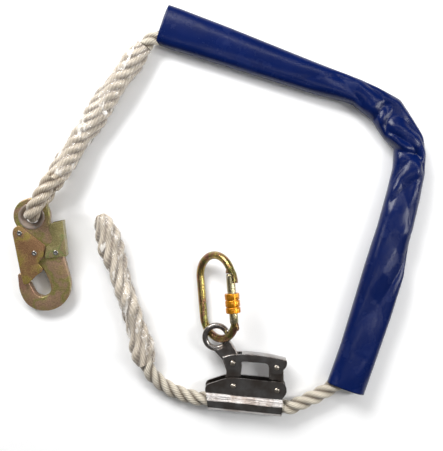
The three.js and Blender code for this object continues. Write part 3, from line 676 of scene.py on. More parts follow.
def cover_finish():
    """Glossy navy coating over a plain weave that shows through as a fine embossed grid."""
    material, shader, flow = finish(
        "navy_coated_cloth", Coat_Weight=0.05, Coat_Roughness=0.16, Specular_IOR_Level=0.22)
    _, along, around = flow.surface_map("cloth")
    thread = 2 * math.pi / THREAD_PITCH
    weave = (along * thread).sine() * (around * thread).sine() * 0.5 + 0.5
    place = flow.place()
    cloud = place.noise(22, 4.0)
    scuff = place.noise(70, 5.0).above(0.57, 6)
    fine = place.noise(900, 2.0)
    base = (cloud * 0.9 + weave * 0.25 - 0.1).clamped().mix(
        rgb(0.0001, 0.0042, 0.041), rgb(0.0003, 0.0095, 0.086))
    worn = (scuff * 0.15).mix(base, rgb(0.006, 0.028, 0.15))
    varied(shader, flow, Base_Color=worn, Roughness=(0.21 + cloud * 0.10 + scuff * 0.2).clamped(),
           Normal=relief(flow, weave * 0.85 + fine * 0.15, 0.00012, 0.4))
    return material


navy_cloth = cover_finish()
cover_line, cover_points = cover_surface()
cover_rows, cover_columns = cover_points.shape[:2]
cover_length = float(length_along(cover_line)[-1])
cover = piece("protective_cover", cover_points.reshape(-1, 3), grid_faces(cover_rows, cover_columns),
              "grab", ["rope_sleeve"], "blue_cover", 180, navy_cloth)
cloth_map(cover, cover_rows, cover_columns, cover_length)
walled(cover, COVER_WALL, -1)

# ---- cover seam ----
# The strip's two edges are lapped along the inner side: a second layer 6 mm wide with a rolled
# edge, and two rows of navy thread through it, stitches 3 mm long.
SEAM_ANGLES = (150, 176)  # degrees round the section
STITCH_ROWS = (155, 166)
STITCH_PITCH = 0.0042
STITCH_LENGTH = 0.0030
STITCH_RADIUS = 0.00035
LAP_RISE = 0.00095
LAP_WALL = 0.0003


def on_cover(share, degrees, above):
    """Points and outward directions on the tube at shares of its length and degrees around it."""
    row = share * (cover_rows - 1)
    column = np.broadcast_to(np.asarray(degrees) / 360 * cover_columns, row.shape)
    low, left = np.floor(row).astype(int).clip(0, cover_rows - 2), np.floor(column).astype(int)
    u, v = (row - low)[..., None], (column - left)[..., None]
    a, b = cover_points[low, left], cover_points[low, (left + 1) % cover_columns]
    c, d = cover_points[low + 1, left], cover_points[low + 1, (left + 1) % cover_columns]
    at = (1 - u) * ((1 - v) * a + v * b) + u * ((1 - v) * c + v * d)
    out = np.cross(b - a, c - a)
    out /= np.linalg.norm(out, axis=-1, keepdims=True)
    return at - np.asarray(above)[..., None] * out, -out


def seam_strip():
    """A lapped layer over the tube: a grid along it and across the lap, raised by its thickness
    with an edge that rolls down to the tube."""
    across = np.linspace(0, 1, 9)[None, :]
    along = np.linspace(0.004, 0.996, 300)[:, None]
    raised = LAP_RISE * np.minimum(1, 3.2 * np.minimum(across, 1 - across)) + 0.0001
    degrees = SEAM_ANGLES[0] + across * (SEAM_ANGLES[1] - SEAM_ANGLES[0])
    share, degrees = np.broadcast_arrays(along, degrees)
    at, _ = on_cover(share, degrees, -np.broadcast_to(raised, share.shape))
    return at


seam_points = seam_strip()
seam = piece("cover_seam_lap", seam_points.reshape(-1, 3),
             grid_faces(*seam_points.shape[:2], wrap=False), "grab", slot="blue_cover", smooth=60,
             material=navy_cloth)
add_map(seam.data, "cloth", seam_points[..., :2].reshape(-1, 2)[corner_points(seam.data)])
walled(seam, LAP_WALL, -1)


def stitches():
    """Short capsules in a row: each a ring profile of six points carried from end to end, dipping
    into the cloth at both ends."""
    rows, sides = 5, 6
    rings = np.linspace(-1, 1, rows)
    fat = np.array([0.15, 0.85, 1.0, 0.85, 0.15])
    rise = np.array([-0.4, 0.25, 0.5, 0.25, -0.4]) * 2 * STITCH_RADIUS
    count = int(cover_length * 0.985 / STITCH_PITCH)
    places = (np.arange(count) + 0.7) * STITCH_PITCH / cover_length
    angle = round_angles(sides)
    caps = [list(range(sides))[::-1], list(range((rows - 1) * sides, rows * sides))]
    one = grid_faces(rows, sides).tolist() + caps
    vertices, faces = [], []
    for degrees in STITCH_ROWS:
        share = places[:, None] + rings[None, :] * STITCH_LENGTH / 2 / cover_length
        lift = -(0.0011 + np.broadcast_to(rise, share.shape))
        centre, out = on_cover(share, degrees, lift)
        along = np.gradient(centre, axis=1)
        along /= np.linalg.norm(along, axis=-1, keepdims=True)
        side = np.cross(out, along)
        spoke = np.cos(angle)[:, None] * side[:, :, None] + np.sin(angle)[:, None] * out[:, :, None]
        ring = centre[:, :, None] + spoke * (fat * STITCH_RADIUS)[None, :, None, None]
        first = len(vertices) * count * rows * sides
        vertices.append(ring.reshape(-1, 3))
        faces += [[first + k * rows * sides + i for i in f] for k in range(count) for f in one]
    return np.vstack(vertices), faces


def thread_finish():
    """Navy thread, its twist showing as lighter and darker flecks."""
    material, shader, flow = finish("navy_thread", Roughness=0.5)
    twist = flow.place().noise(1800, 2.0)
    varied(shader, flow, Base_Color=twist.mix(rgb(0.01, 0.03, 0.16), rgb(0.05, 0.12, 0.42)))
    return material


cover_thread = piece("cover_stitching", *stitches(), "grab", slot="blue_cover", material=thread_finish())

# ---- grab body ----
# One stainless sheet, 2 mm, folded round the rope: a round channel, sloped shoulders and two side
# plates that carry both pivots. It is laser cut, press formed, deburred and polished.
SHEET = 2.0
BULB_RADIUS = 11.1
PLATE_HALF = 8.6
SHOULDER_LOW, SHOULDER_TOP = 1.5, 11.4
BODY_STATIONS = 72  # sections along the sheet
PLATE_TOP = 30.5
LEFT_EDGE = ((-13, -25), (6.3, -28.4), (10.5, -30.2), (13.2, -31.0), (16.2, -31.1), (19.0, -29.9),
             (20.8, -27.2), (24.0, -20.0), (26.6, -14.5), (28.6, -9.0), (29.7, -4.2), (30.5, 4.0))
RIGHT_EDGE = ((-13, 58.8), (10.4, 57.8), (12.6, 57.6), (14.4, 59.0), (17.5, 60.6), (21, 61.2),
              (24.5, 60.6), (27.2, 59.3), (28.6, 58.2), (30.5, 56.0))


def joint(name):
    return next(j for j in frame["joints"] if j["name"] == name)


def placed(points, turned, origin):
    """Points in mm, turned by the matrix and moved to the origin, in metres."""
    return np.asarray(points, float) @ np.asarray(turned).T * MM + origin


def about_x(axis):
    """The turn about X that tips +Z onto a joint's axis in the YZ plane."""
    _, y, z = axis
    return np.array([[1, 0, 0], [0, z, y], [0, -y, z]])


ARM_PIVOT = (0.0, 21.0)
LINK_PIVOT = (50.0, 21.0)
HANDLE_ARM = (-3.0, 46.7)
HANDLE_LINK = (47.0, 46.7)
grab_turn = about_x(joint("cam_arm_swing")["axis"])
grab_origin = np.array(joint("cam_arm_swing")["pos_m"]) - placed([*ARM_PIVOT, 0], grab_turn, 0)


def in_grab(points):
    """From the grab's own millimetres, x along the rope, to the frame."""
    return placed(points, grab_turn, grab_origin)


def fitted_piece(name, solid, put, body, node, slot, material, smooth=40):
    """A piece from a solid in its group's millimetres, put in place, with its finish."""
    points, faces = solid
    return piece(name, put(points), faces, body, [node], slot, smooth, material)


def body_section(inset, top):
    """Half widths and heights down the front plate, round the channel and up the back plate: the
    bulb is a half circle, and each fold is a short curve."""
    radius = BULB_RADIUS - inset
    flank = PLATE_HALF - inset
    u = np.linspace(0, 1, 26)
    front = np.column_stack([np.full(len(u), flank), top + (SHOULDER_TOP - top) * u])
    w = np.linspace(0, 1, 14)[1:]
    out = 0.75 * w + 0.25 * eased(w)
    fold = np.column_stack([flank + (radius - flank) * out,
                            SHOULDER_TOP + (SHOULDER_LOW - SHOULDER_TOP) * w])
    arc = np.linspace(0, -np.pi, 44)[1:-1]
    bulb = radius * np.column_stack([np.cos(arc), np.sin(arc)])
    half = np.vstack([front, fold])
    return np.vstack([half, bulb, (half * [-1, 1])[::-1]])


def body_shell():
    """The section's closed sheet loop, outside then inside, carried along x between the left and
    right edges' places at each height."""
    outside, inside = body_section(0, PLATE_TOP), body_section(SHEET, PLATE_TOP)
    lip = 0.35
    outside[[0, -1], 1] -= lip
    inside[[0, -1], 1] -= lip
    rim_front = [[PLATE_HALF - lip, PLATE_TOP], [PLATE_HALF - SHEET + lip, PLATE_TOP]]
    rim_back = [[lip + SHEET - PLATE_HALF, PLATE_TOP], [lip - PLATE_HALF, PLATE_TOP]]
    loop = np.vstack([outside, rim_back[::-1], inside[::-1], rim_front[::-1]])
    share = np.linspace(0, 1, BODY_STATIONS)[:, None]
    height = loop[None, :, 1]
    left = np.interp(height, *np.array(LEFT_EDGE).T)
    right = np.interp(height, *np.array(RIGHT_EDGE).T)
    size = (BODY_STATIONS, len(loop))
    points = np.stack([left + (right - left) * share, np.broadcast_to(height, size),
                       np.broadcast_to(loop[None, :, 0], size)], axis=-1)
    faces = grid_faces(*size).tolist()
    count = len(outside)
    last = (BODY_STATIONS - 1) * len(loop)

    def partner(j):
        return 2 * count + 1 - j

    for j in range(count - 1):
        faces.append([j + 1, j, partner(j), partner(j + 1)])
        faces.append([last + j, last + j + 1, last + partner(j + 1), last + partner(j)])
    for a, b in ((count - 1, count + 2), (2 * count + 1, 0)):
        rim = [(a + k) % len(loop) for k in range(4)]
        faces.append(rim[::-1])
        faces.append([last + k for k in rim])
    return points.reshape(-1, 3), faces


def turned_steel(name, tone, rough, grain=(0.05, 1, 1), scale=700):
    """Polished stainless steel: fine scratches along one way, smears and a slightly wavy surface."""
    material, shader, flow = finish(name)
    place = flow.place()
    scratch = place.noise(scale, 4.0, grain)
    smear = place.noise(60, 3.0)
    wave = place.noise(28, 2.0)
    blotch = ((smear - 0.5) * 3.4 + 0.5).clamped()
    base = (scratch * 0.15 + blotch * 0.85).mix(scaled(tone, 0.62, 0.53, 0.47), scaled(tone, 1.3))
    varied(shader, flow, Base_Color=base, Roughness=(rough + smear * 0.12 + scratch * 0.04).clamped(),
           Metallic=(smear * 0.05 + 0.95).clamped(),
           Normal=relief(flow, wave * 0.9 + scratch * 0.1, 0.0012, 0.5))
    return material


dark_steel = turned_steel("polished_stainless", (0.33, 0.32, 0.315), 0.05)
fitted_piece("grab_shell", body_shell(), in_grab, "grab", "grab_body", "stainless", dark_steel, 32)

# ---- cam arm ----
# Forged and machined stainless arm, 9 mm thick: a toothed cam inside the channel, a neck, and a
# round eye that the carabiner goes through. Its edges are chamfered and bright.
ARM_HALF = 4.5
RING_CENTRE = (-24.2, 73.5)
RING_MID, RING_HALF_WIDTH, RING_HALF_THICK = 13.05, 3.25, 3.7


def outline(*steps):
    """A closed outline from steps: (x, y) is a straight line there, (cx, cy, x, y) a quadratic
    curve, and (cx, cy, radius, from, to) an arc in degrees, turning from one to the other."""
    points = []
    for step in steps:
        if len(step) == 2:
            points.append([step])
        elif len(step) == 4:
            t = np.linspace(0, 1, 15)[1:, None]
            start = np.array(points[-1][-1])
            middle, end = np.array(step[:2]), np.array(step[2:])
            points.append((1 - t) ** 2 * start + 2 * t * (1 - t) * middle + t**2 * end)
        else:
            cx, cy, radius, low, high = step
            a = np.radians(np.linspace(low, high, max(6, int(abs(high - low) / 5) + 1)))
            points.append(np.column_stack([cx + radius * np.cos(a), cy + radius * np.sin(a)]))
    line = np.vstack([np.asarray(p, float) for p in points])
    keep = np.linalg.norm(line - np.roll(line, 1, axis=0), axis=1) > 0.02
    line = line[keep]
    area = np.cross(line, np.roll(line, -1, axis=0)).sum()
    return line if area > 0 else line[::-1]


def circle(centre, radius, count):
    a = round_angles(count)
    return np.column_stack([centre[0] + radius * np.cos(a), centre[1] + radius * np.sin(a)])


def inward(line):
    """At each corner the way in that keeps both edges' distance: the sum of the edges' normals
    over one plus their cosine, held to twice the distance at sharp corners."""
    edge = np.roll(line, -1, axis=0) - line
    normal = np.column_stack([-edge[:, 1], edge[:, 0]]) / np.linalg.norm(edge, axis=1)[:, None]
    before = np.roll(normal, 1, axis=0)
    return (normal + before) / np.maximum(1 + (normal * before).sum(axis=1), 0.5)[:, None]


def plate(outer, low, high, edge=0.5, holes=()):
    """A plate between two heights from an outline and holes: rings of the outline follow a
    quarter circle of radius edge at both faces, and the faces are filled between the innermost.
    Where an inset ring crosses itself, the faces there are left out."""
    loops = [np.asarray(outer)] + [np.asarray(h)[::-1] for h in holes]
    quarter = np.linspace(0, np.pi / 2, 5)
    inset = edge * (1 - np.cos(quarter))
    rise = edge * np.sin(quarter)
    insets = np.concatenate([inset[::-1], inset])
    heights = np.concatenate([low + edge - rise[::-1], high - edge + rise])
    rings, faces, rims, first = [], [], [], 0
    for loop in loops:
        way = inward(loop)
        ring = loop[None] + insets[:, None, None] * way[None]
        level = np.broadcast_to(heights[:, None, None], (len(heights), len(loop), 1))
        rings.append(np.concatenate([ring, level], axis=2).reshape(-1, 3))
        faces += (grid_faces(len(heights), len(loop)) + first).tolist()
        rims.append((first, first + (len(heights) - 1) * len(loop), len(loop)))
        first += len(heights) * len(loop)
    points = np.vstack(rings)
    flat, edges, known, bottom_of = [], [], [], {}
    for bottom, top, count in rims:
        base = len(flat)
        flat += [Vector(points[top + k, :2]) for k in range(count)]
        known += [top + k for k in range(count)]
        edges += [(base + k, base + (k + 1) % count) for k in range(count)]
        bottom_of.update({top + k: bottom + k for k in range(count)})
    _, _, filled, source, _, _ = delaunay_2d_cdt(flat, edges, [], 2 if holes else 1, 1e-7)
    for face in filled:
        if any(not source[k] for k in face):
            continue
        corner = [known[source[k][0]] for k in face]
        a, b, c = (points[k, :2] for k in corner[:3])
        if np.cross(b - a, c - a) < 0:
            corner = corner[::-1]
        middle = points[corner, :2].mean(axis=0)
        if any(inside(middle, points[top:top + count, :2]) for _, top, count in rims[1:]):
            continue
        faces.append(corner)
        faces.append([bottom_of[k] for k in corner[::-1]])
    return points, faces


def inside(point, loop):
    """Whether a point is inside a loop: the number of edges that pass to its right is odd."""
    a, b = loop, np.roll(loop, -1, axis=0)
    crosses = (a[:, 1] > point[1]) != (b[:, 1] > point[1])
    with np.errstate(divide="ignore", invalid="ignore"):
        at = a[:, 0] + (point[1] - a[:, 1]) * (b[:, 0] - a[:, 0]) / (b[:, 1] - a[:, 1])
    return bool((crosses & (at > point[0])).sum() % 2)


def joined(*solids):
    """Several closed surfaces as one list of points and faces."""
    points, faces, first = [], [], 0
    for solid_points, solid_faces in solids:
        points.append(np.asarray(solid_points))
        faces += [[k + first for k in f] for f in solid_faces]
        first += len(solid_points)
    return np.vstack(points), faces


def spun(profile, centre=(0, 0), columns=48, along="z"):
    """A profile of (radius, height) turned about Z, or about Y where along is y. A first or last
    radius of 0 closes on the axis; otherwise the profile closes on itself."""
    profile = np.asarray(profile, float)
    angle = round_angles(columns)
    x = centre[0] + profile[:, :1] * np.cos(angle)
    y = profile[:, :1] * np.sin(angle)
    h = np.broadcast_to(profile[:, 1:], x.shape)
    points = np.stack([x, centre[1] + y, h] if along == "z" else [x, centre[1] + h, -y], axis=-1)
    if profile[0, 0] < 1e-9 and profile[-1, 0] < 1e-9:
        return closed_grid(points[1:-1], points[0, 0], points[-1, 0])
    i = np.arange(len(profile))[:, None] * columns
    n = np.roll(i, -1, axis=0)
    j = np.arange(columns)[None, :]
    k = (j + 1) % columns
    quads = np.stack([i + j, i + k, n + k, n + j], axis=-1)
    return points.reshape(-1, 3), quads.reshape(-1, 4).tolist()


def cam_outline():
    """A spiral about the arm's pivot, its near side cut into nine shallow saw teeth."""
    tooth = np.arange(9)[:, None]
    angle = -128 + 8.5 * (tooth + np.array([0.0, 0.12, 0.7]))
    radius = 12.5 - 0.05 * (angle + 90) + np.array([0.0, -0.05, -1.0])
    back = np.array([[-40, 9.4], [-20, 9.0], [0, 8.6], [45, 8.6], [90, 8.8], [120, 9], [180, 9.2],
                     [215, 10.5]])
    angle = np.radians(np.concatenate([angle.ravel(), back[:, 0]]))
    radius = np.concatenate([radius.ravel(), back[:, 1]])
    return np.column_stack([radius * np.cos(angle), ARM_PIVOT[1] + radius * np.sin(angle)])


def eye_ring():
    """A ring whose section is a squared ellipse: powers of cosine and sine make flat faces with
    wide chamfers."""
    a = round_angles(32)
    radius = RING_MID + RING_HALF_WIDTH * np.sign(np.cos(a)) * np.abs(np.cos(a)) ** 0.75
    height = RING_HALF_THICK * np.sign(np.sin(a)) * np.abs(np.sin(a)) ** 0.62
    return spun(np.column_stack([radius, height]), RING_CENTRE, columns=96)


neck = outline((-9, 20), (-9, 36), (-14.3, 48.2), (-20, 53.4, -25.4, 58.4),
               (*RING_CENTRE, 13.2, -100, -6), (-8.3, 70.4), (-4.6, 66.5, -1.1, 61), (5, 51.5),
               (7.6, 47.5, 8, 43), (8, 20))
arm_solid = joined(plate(neck, -ARM_HALF, ARM_HALF, edge=0.6), eye_ring(),
                   plate(cam_outline(), -ARM_HALF, ARM_HALF, edge=0.15))
arm_steel = turned_steel(
    "tumbled_stainless", (0.29, 0.275, 0.265), rough=0.13, grain=(1, 0.2, 1), scale=420)
fitted_piece("cam_arm_forging", arm_solid, in_grab, "arm", "cam_arm", "stainless", arm_steel)

# ---- top handle ----
# A stainless channel, 1.6 mm sheet folded along its top edge, over the arm and the link. A thumb
# opens the grab by the bar above its finger window.
HANDLE_HALF = 6.7
HANDLE_SHEET = 1.6
BOSS = 8.4

handle_side = outline(
    (-15.2, 52.4), (-4, 57.6, 9, 58.5), (34, 60, 57.4, 56.2), (59.4, 53, 57.8, 48), (55.3, 44.6),
    (*HANDLE_LINK, BOSS, -14, -170), (37.6, 47.6), (36.6, 50, 33.5, 50.2), (10, 49.6),
    (6.8, 49.4, 6.2, 46.6), (*HANDLE_ARM, BOSS, -8, -150))
web = outline((6.5, 57.0), (6.5, 58.3), (20, 59.2, 34, 58.7), (46, 58.2, 57.2, 56.2), (56.6, 54.6),
              (46, 56.2, 34, 57.1), (20, 57.5, 6.5, 57.0))
side_low = HANDLE_HALF - HANDLE_SHEET
handle_solid = joined(
    plate(handle_side, side_low, HANDLE_HALF, edge=0.7),
    plate(handle_side, -HANDLE_HALF, -side_low, edge=0.7),
    plate(web, -HANDLE_HALF + 0.5, HANDLE_HALF - 0.5, edge=0.3))
fitted_piece("folded_handle", handle_solid, in_grab, "handle", "top_handle", "stainless", dark_steel)

# ---- rear link ----
# A plain stainless link, 9 mm thick, that carries the handle's other end. The cam's return spring
# sits in a round pocket on its face.
LINK_LOW, LINK_HIGH = -4.5, 1.4
LINK_WIDE_LOW, LINK_WIDE_HIGH = 1.0, 4.5
lean = math.degrees(math.atan2(HANDLE_LINK[1] - LINK_PIVOT[1], HANDLE_LINK[0] - LINK_PIVOT[0]))
far_end = (*HANDLE_LINK, 8.2, lean - 90, lean + 90)
link_side = outline(far_end, (*LINK_PIVOT, 8.5, lean + 90, lean + 270))
link_top = outline(far_end, (*LINK_PIVOT, 10.3, lean + 38, lean - 38))
link_solid = joined(plate(link_side, LINK_LOW, LINK_HIGH, edge=0.4),
                    plate(link_top, LINK_WIDE_LOW, LINK_WIDE_HIGH, edge=0.4))
fitted_piece("rear_link_bar", link_solid, in_grab, "link", "rear_link", "stainless", arm_steel)

# ---- grab rivets and spacers ----
# Four nickel-plated steel rivets peened to low domes, with washers that keep the arm and the link
# in the middle of the body.
def dome(under, out, radius, height, flat=0.25):
    """Profile from the axis: a flattened dome of that radius and height above a seat."""
    t = np.linspace(0, 1, 9)
    r = radius * np.sin(t * np.pi / 2) ** (1 - flat)
    return np.column_stack([r, under + out * height * np.cos(t * np.pi / 2)])


def rivet_solid(centre, half, head=3.1, height=1.6, shank=2.5):
    """Two domes and the shank between them, turned as one profile."""
    seat = half + 0.3
    low, high = dome(-seat, -1, head, height), dome(seat, 1, head, height)
    profile = np.vstack([low, [[shank, -seat], [shank, seat]], high[::-1]])
    return spun(profile, centre, 36)


def nickel_finish():
    """Bright nickel plate, a little cloudy, dulled and brown in pits."""
    material, shader, flow = finish("nickel_plate")
    place = flow.place()
    pit = place.noise(480, 4.0).above(0.56, 6)
    cloud = place.noise(160, 3.0)
    metal = cloud.mix(rgb(0.34, 0.30, 0.25), rgb(0.58, 0.53, 0.46))
    base = (pit * 0.85).mix(metal, rgb(0.09, 0.065, 0.04))
    varied(shader, flow, Base_Color=base, Metallic=(1 - pit * 0.35).clamped(),
           Roughness=(0.2 + cloud * 0.14 + pit * 0.3).clamped(),
           Normal=relief(flow, place.noise(240, 3.0), 0.0003, 0.5))
    return material


nickel = nickel_finish()
for name, centre, half, body in (("arm_pivot_rivet", ARM_PIVOT, PLATE_HALF, "grab"),
                                 ("link_pivot_rivet", LINK_PIVOT, PLATE_HALF, "grab"),
                                 ("handle_arm_rivet", HANDLE_ARM, HANDLE_HALF, "arm"),
                                 ("handle_link_rivet", HANDLE_LINK, HANDLE_HALF, "handle")):
    fitted_piece(name + "_peened", rivet_solid(centre, half), in_grab, body, name, "rivet_nickel",
                 nickel, 50)
for name, centre, side in (("arm_spacer_front", ARM_PIVOT, 1), ("arm_spacer_back", ARM_PIVOT, -1),
                           ("link_spacer_back", LINK_PIVOT, -1)):
    near, far = ARM_HALF + 0.25, PLATE_HALF - SHEET - 0.25
    low, high = (near, far) if side > 0 else (-far, -near)
    ring = [[2.8, low + 0.2], [3.0, low], [5.3, low], [5.5, low + 0.2], [5.5, high - 0.2], [5.3, high],
            [3.0, high], [2.8, high - 0.2]]
    fitted_piece(name + "_washer", spun(ring, centre, columns=40), in_grab, "grab", name,
                 "rivet_nickel", nickel)

# ---- springs ----
# Plain round spring-steel wire, wound cold, with straight ends where they bear.
def spring_wire(centre, radius, wire, turns, pitch, start=0.0, legs=(None, None)):
    """Points of a wire tube along a helix: radius * (cos, sin) with height pitch * turns."""
    a = start + np.linspace(0, 2 * np.pi * turns, int(turns * 28))
    line = np.column_stack([centre[0] + radius * np.cos(a), centre[1] + radius * np.sin(a),
                            centre[2] + pitch * (a - start) / (2 * np.pi)])
    if legs[0] is not None:
        line = np.vstack([legs[0], line])
    if legs[1] is not None:
        line = np.vstack([line, legs[1]])
    line = respaced(line, 0.35)
    return tube_surface(line, wire / 2, 10, (0.13, 0.07, 0.99))


def wire_finish():
    material, shader, flow = finish("spring_wire")
    oil = flow.place().noise(300, 3.0)
    varied(shader, flow, Base_Color=oil.mix(rgb(0.22, 0.21, 0.20), rgb(0.45, 0.44, 0.42)),
           Metallic=(oil * 0.1 + 0.9).clamped(), Roughness=0.22 + oil * 0.2)
    return material


wire_steel = wire_finish()


def spring(name, node, solid, put, body):
    return fitted_piece(name, solid, put, body, node, "spring_steel", wire_steel, 60)


cam_coil = spring_wire((*LINK_PIVOT, 2.3), radius=4.4, wire=1.0, turns=2.5, pitch=1.25,
                       start=math.pi / 2, legs=((42, 25.6, 2.3), (41, 16, 5.5)))
spring("cam_return_coil", "cam_return_spring", cam_coil, in_grab, "grab")

# ---- carabiner ----
# An oval steel carabiner of 9 mm round bar, bent cold, its nose forged to a claw. It is zinc
# plated and yellow passivated, which shifts between gold, pink, green and brown.
OVAL_RADIUS = 25.0
OVAL_LEG = 22.5
ROD_RADIUS = 4.5
CLAW_HALF = 3.2
TONGUE_HALF = 1.8
GATE_X = 22.8
GATE_RADIUS = 4.8
GATE_PIN_Y = -25.7
LATCH_PIN_Y = 22.7
GATE_TOP_Y = 26.0

gate_joint = joint("carabiner_gate_open")
gate_axis = np.array(gate_joint["axis"])
slide_axis = np.array(joint("screw_sleeve_travel")["axis"])
carabiner_turn = np.column_stack([np.cross(slide_axis, gate_axis), slide_axis, gate_axis])
carabiner_origin = np.array(gate_joint["pos_m"]) - placed([GATE_X, GATE_PIN_Y, 0], carabiner_turn, 0)


def in_carabiner(points):
    return placed(points, carabiner_turn, carabiner_origin)


def rod_line():
    """Centreline from the nose over the top, down the spine and round to the hinge: two half
    circles joined by a straight leg."""
    top = np.radians(np.linspace(15, 180, 60))
    low = np.radians(np.linspace(180, 342, 60))
    over = np.column_stack([OVAL_RADIUS * np.cos(top), OVAL_LEG + OVAL_RADIUS * np.sin(top)])
    under = np.column_stack([OVAL_RADIUS * np.cos(low), -OVAL_LEG + OVAL_RADIUS * np.sin(low)])
    line = np.vstack([over, under])
    return respaced(np.column_stack([line, np.zeros(len(line))]), 0.9)


def zinc_finish(name, gold, tint, rough, scale, streak=(1, 1, 1), metal=0.92, flecks=0.2):
    """Yellow passivated zinc: a film whose thickness wanders, so the colour runs from gold to
    green and pink; grain and small scratches show as darker and brighter flecks."""
    material, shader, flow = finish(name, Coat_Weight=0.25, Coat_Roughness=0.2)
    place = flow.place()
    thick = place.noise(scale, 3.0, streak)
    second = place.noise(scale * 2.3, 4.0)
    hue = ((thick * 0.75 + second * 0.25) - 0.5) * 3.4 + 0.5
    spectrum = hue.ramp((0.22, tint[0]), (0.36, gold), (0.46, tint[1]), (0.58, tint[2]), (0.70, gold),
                        (0.85, tint[3]))
    grain = place.noise(900, 3.0)
    grime = place.noise(150, 5.0).above(0.57, 5)
    base = (grime * 0.55).mix(spectrum, rgb(0.10, 0.07, 0.04))
    fleck = ((grain - 0.5) * 3 + 0.5).clamped()
    dark = (fleck * flecks * 1.2).mix(base, scaled(gold, 0.30))
    speck = ((1 - fleck) * flecks * 0.7).mix(dark, scaled(gold, 1.45))
    varied(shader, flow, Base_Color=speck, Metallic=(metal - grime * 0.3).clamped(),
           Roughness=(rough + grain * 0.12 + grime * 0.2).clamped(),
           Normal=relief(flow, fleck * 0.6 + second * 0.4, 0.0003, 0.5))
    return material


GOLD = (0.34, 0.24, 0.08)
OVAL_TINTS = ((0.26, 0.11, 0.08), (0.20, 0.22, 0.05), (0.33, 0.13, 0.09), (0.46, 0.36, 0.10))
oval_zinc = zinc_finish(
    "yellow_zinc_bar", GOLD, OVAL_TINTS, rough=0.16, scale=38, streak=(1, 0.35, 1))
claw = outline((19.2, 30.5), (23, 31.9, 27, 31.5), (31.6, 24, 30.9, 15.8), (28.6, 15.8), (28.2, 26.4),
               (18.4, 26.6))
tongue = outline((GATE_X, GATE_PIN_Y, 3.9, 0, 180), (GATE_X + 1.4, -34, 4.2, 180, 360))
oval_solid = joined(tube_surface(rod_line(), ROD_RADIUS, columns=36),
                    plate(claw, -CLAW_HALF, CLAW_HALF, edge=0.9),
                    plate(tongue, -TONGUE_HALF, TONGUE_HALF, edge=0.3))
fitted_piece("oval_carabiner_bar", oval_solid, in_carabiner, "carabiner", "carabiner_body",
             "yellow_zinc", oval_zinc)

# ---- carabiner gate ----
# A turned steel gate, paler zinc, slotted over the hinge tongue. A plunger and spring inside its
# bore close it; two pins with sunk centres hold it.
def gate_barrel():
    return spun([[0, -29.6], [2.8, -29.6], [3.9, -29.3], [GATE_RADIUS, -27.9], [GATE_RADIUS, -20],
                 [GATE_RADIUS, 5], [GATE_RADIUS, 22], [GATE_RADIUS, 24.4], [4.5, 25.3], [3.6, GATE_TOP_Y],
                 [0, GATE_TOP_Y]], (GATE_X, 0), 48, "y")


PALE = (0.46, 0.41, 0.24)
PALE_TINTS = ((0.38, 0.32, 0.18), (0.40, 0.40, 0.20), (0.44, 0.34, 0.22), (0.56, 0.52, 0.32))
gate_zinc = zinc_finish("pale_zinc_gate", PALE, PALE_TINTS, rough=0.18, scale=60, streak=(1, 0.3, 1))
fitted_piece("gate_barrel", gate_barrel(), in_carabiner, "gate", "carabiner_gate", "pale_zinc", gate_zinc)


def pin_solid(y):
    """A pin across the gate, its ends turned down to a ring round a sunk centre."""
    half = 4.95
    end = [[0, half - 0.55], [0.75, half - 0.5], [0.95, half], [1.35, half], [1.65, half - 0.25]]
    profile = [[r, -h] for r, h in end] + end[::-1]
    return spun(profile, (GATE_X, y), 28)


for name, y, body in (("gate_hinge_pin", GATE_PIN_Y, "carabiner"),
                      ("gate_latch_pin", LATCH_PIN_Y, "gate")):
    fitted_piece(name + "_turned", pin_solid(y), in_carabiner, body, name, "rivet_nickel", nickel)
plunger_solid = spun([[0, -21.2], [1.9, -21.2], [2.2, -20.8], [2.2, -12.6], [1.9, -12.3], [0, -12.3]],
                     (GATE_X, 0), 28, "y")
spring("gate_plunger_pin", "gate_plunger", plunger_solid, in_carabiner, "gate")
coil_points, coil_faces = spring_wire((0, 0, 0), radius=1.7, wire=0.7, turns=8, pitch=2.3)
coil_points = coil_points[:, [0, 2, 1]] * [1, 1, -1] + [GATE_X, -11.4, 0]
spring("gate_coil", "gate_spring", (coil_points, coil_faces), in_carabiner, "gate")

# ---- screw sleeve ----
# An aluminium sleeve, anodised orange, with three knurled bands between two grooves. It screws
# along the gate to lock it.
SLEEVE_LOW, SLEEVE_HIGH = -17.6, 4.3


def sleeve_surface():
    """A turned profile of bands and grooves; the bands' radius also follows |sin| around, which
    makes shallow flutes."""
    outer, groove, bore, low, high = 8.2, 7.15, 5.1, SLEEVE_LOW, SLEEVE_HIGH
    bands = ((low, low + 6.1), (low + 7.4, low + 14.1), (low + 15.3, high))
    profile = [[bore, low + 0.3], [bore + 0.4, low]]
    for start, stop in bands:
        edge = 0.75 if start == low else 0.3
        last = 0.75 if stop == high else 0.3
        profile += [[outer - edge, start], [outer, start + edge], [outer, (start + stop) / 2],
                    [outer, stop - last], [outer - last, stop]]
        if stop != high:
            profile += [[groove, stop + 0.2], [groove, stop + 1.0]]
    profile += [[bore + 0.4, high], [bore, high - 0.3]]
    points, faces = spun(profile, (GATE_X, 0), 144, "y")
    off = points[:, [0, 2]] - [GATE_X, 0]
    radius = np.hypot(*off.T)
    angle = np.arctan2(off[:, 1], off[:, 0])
    flute = np.where(radius > 7.9, 1 - 0.022 * np.abs(np.sin(angle * 12)), 1)
    points[:, 0] = GATE_X + off[:, 0] * flute
    points[:, 2] = off[:, 1] * flute
    return points, faces


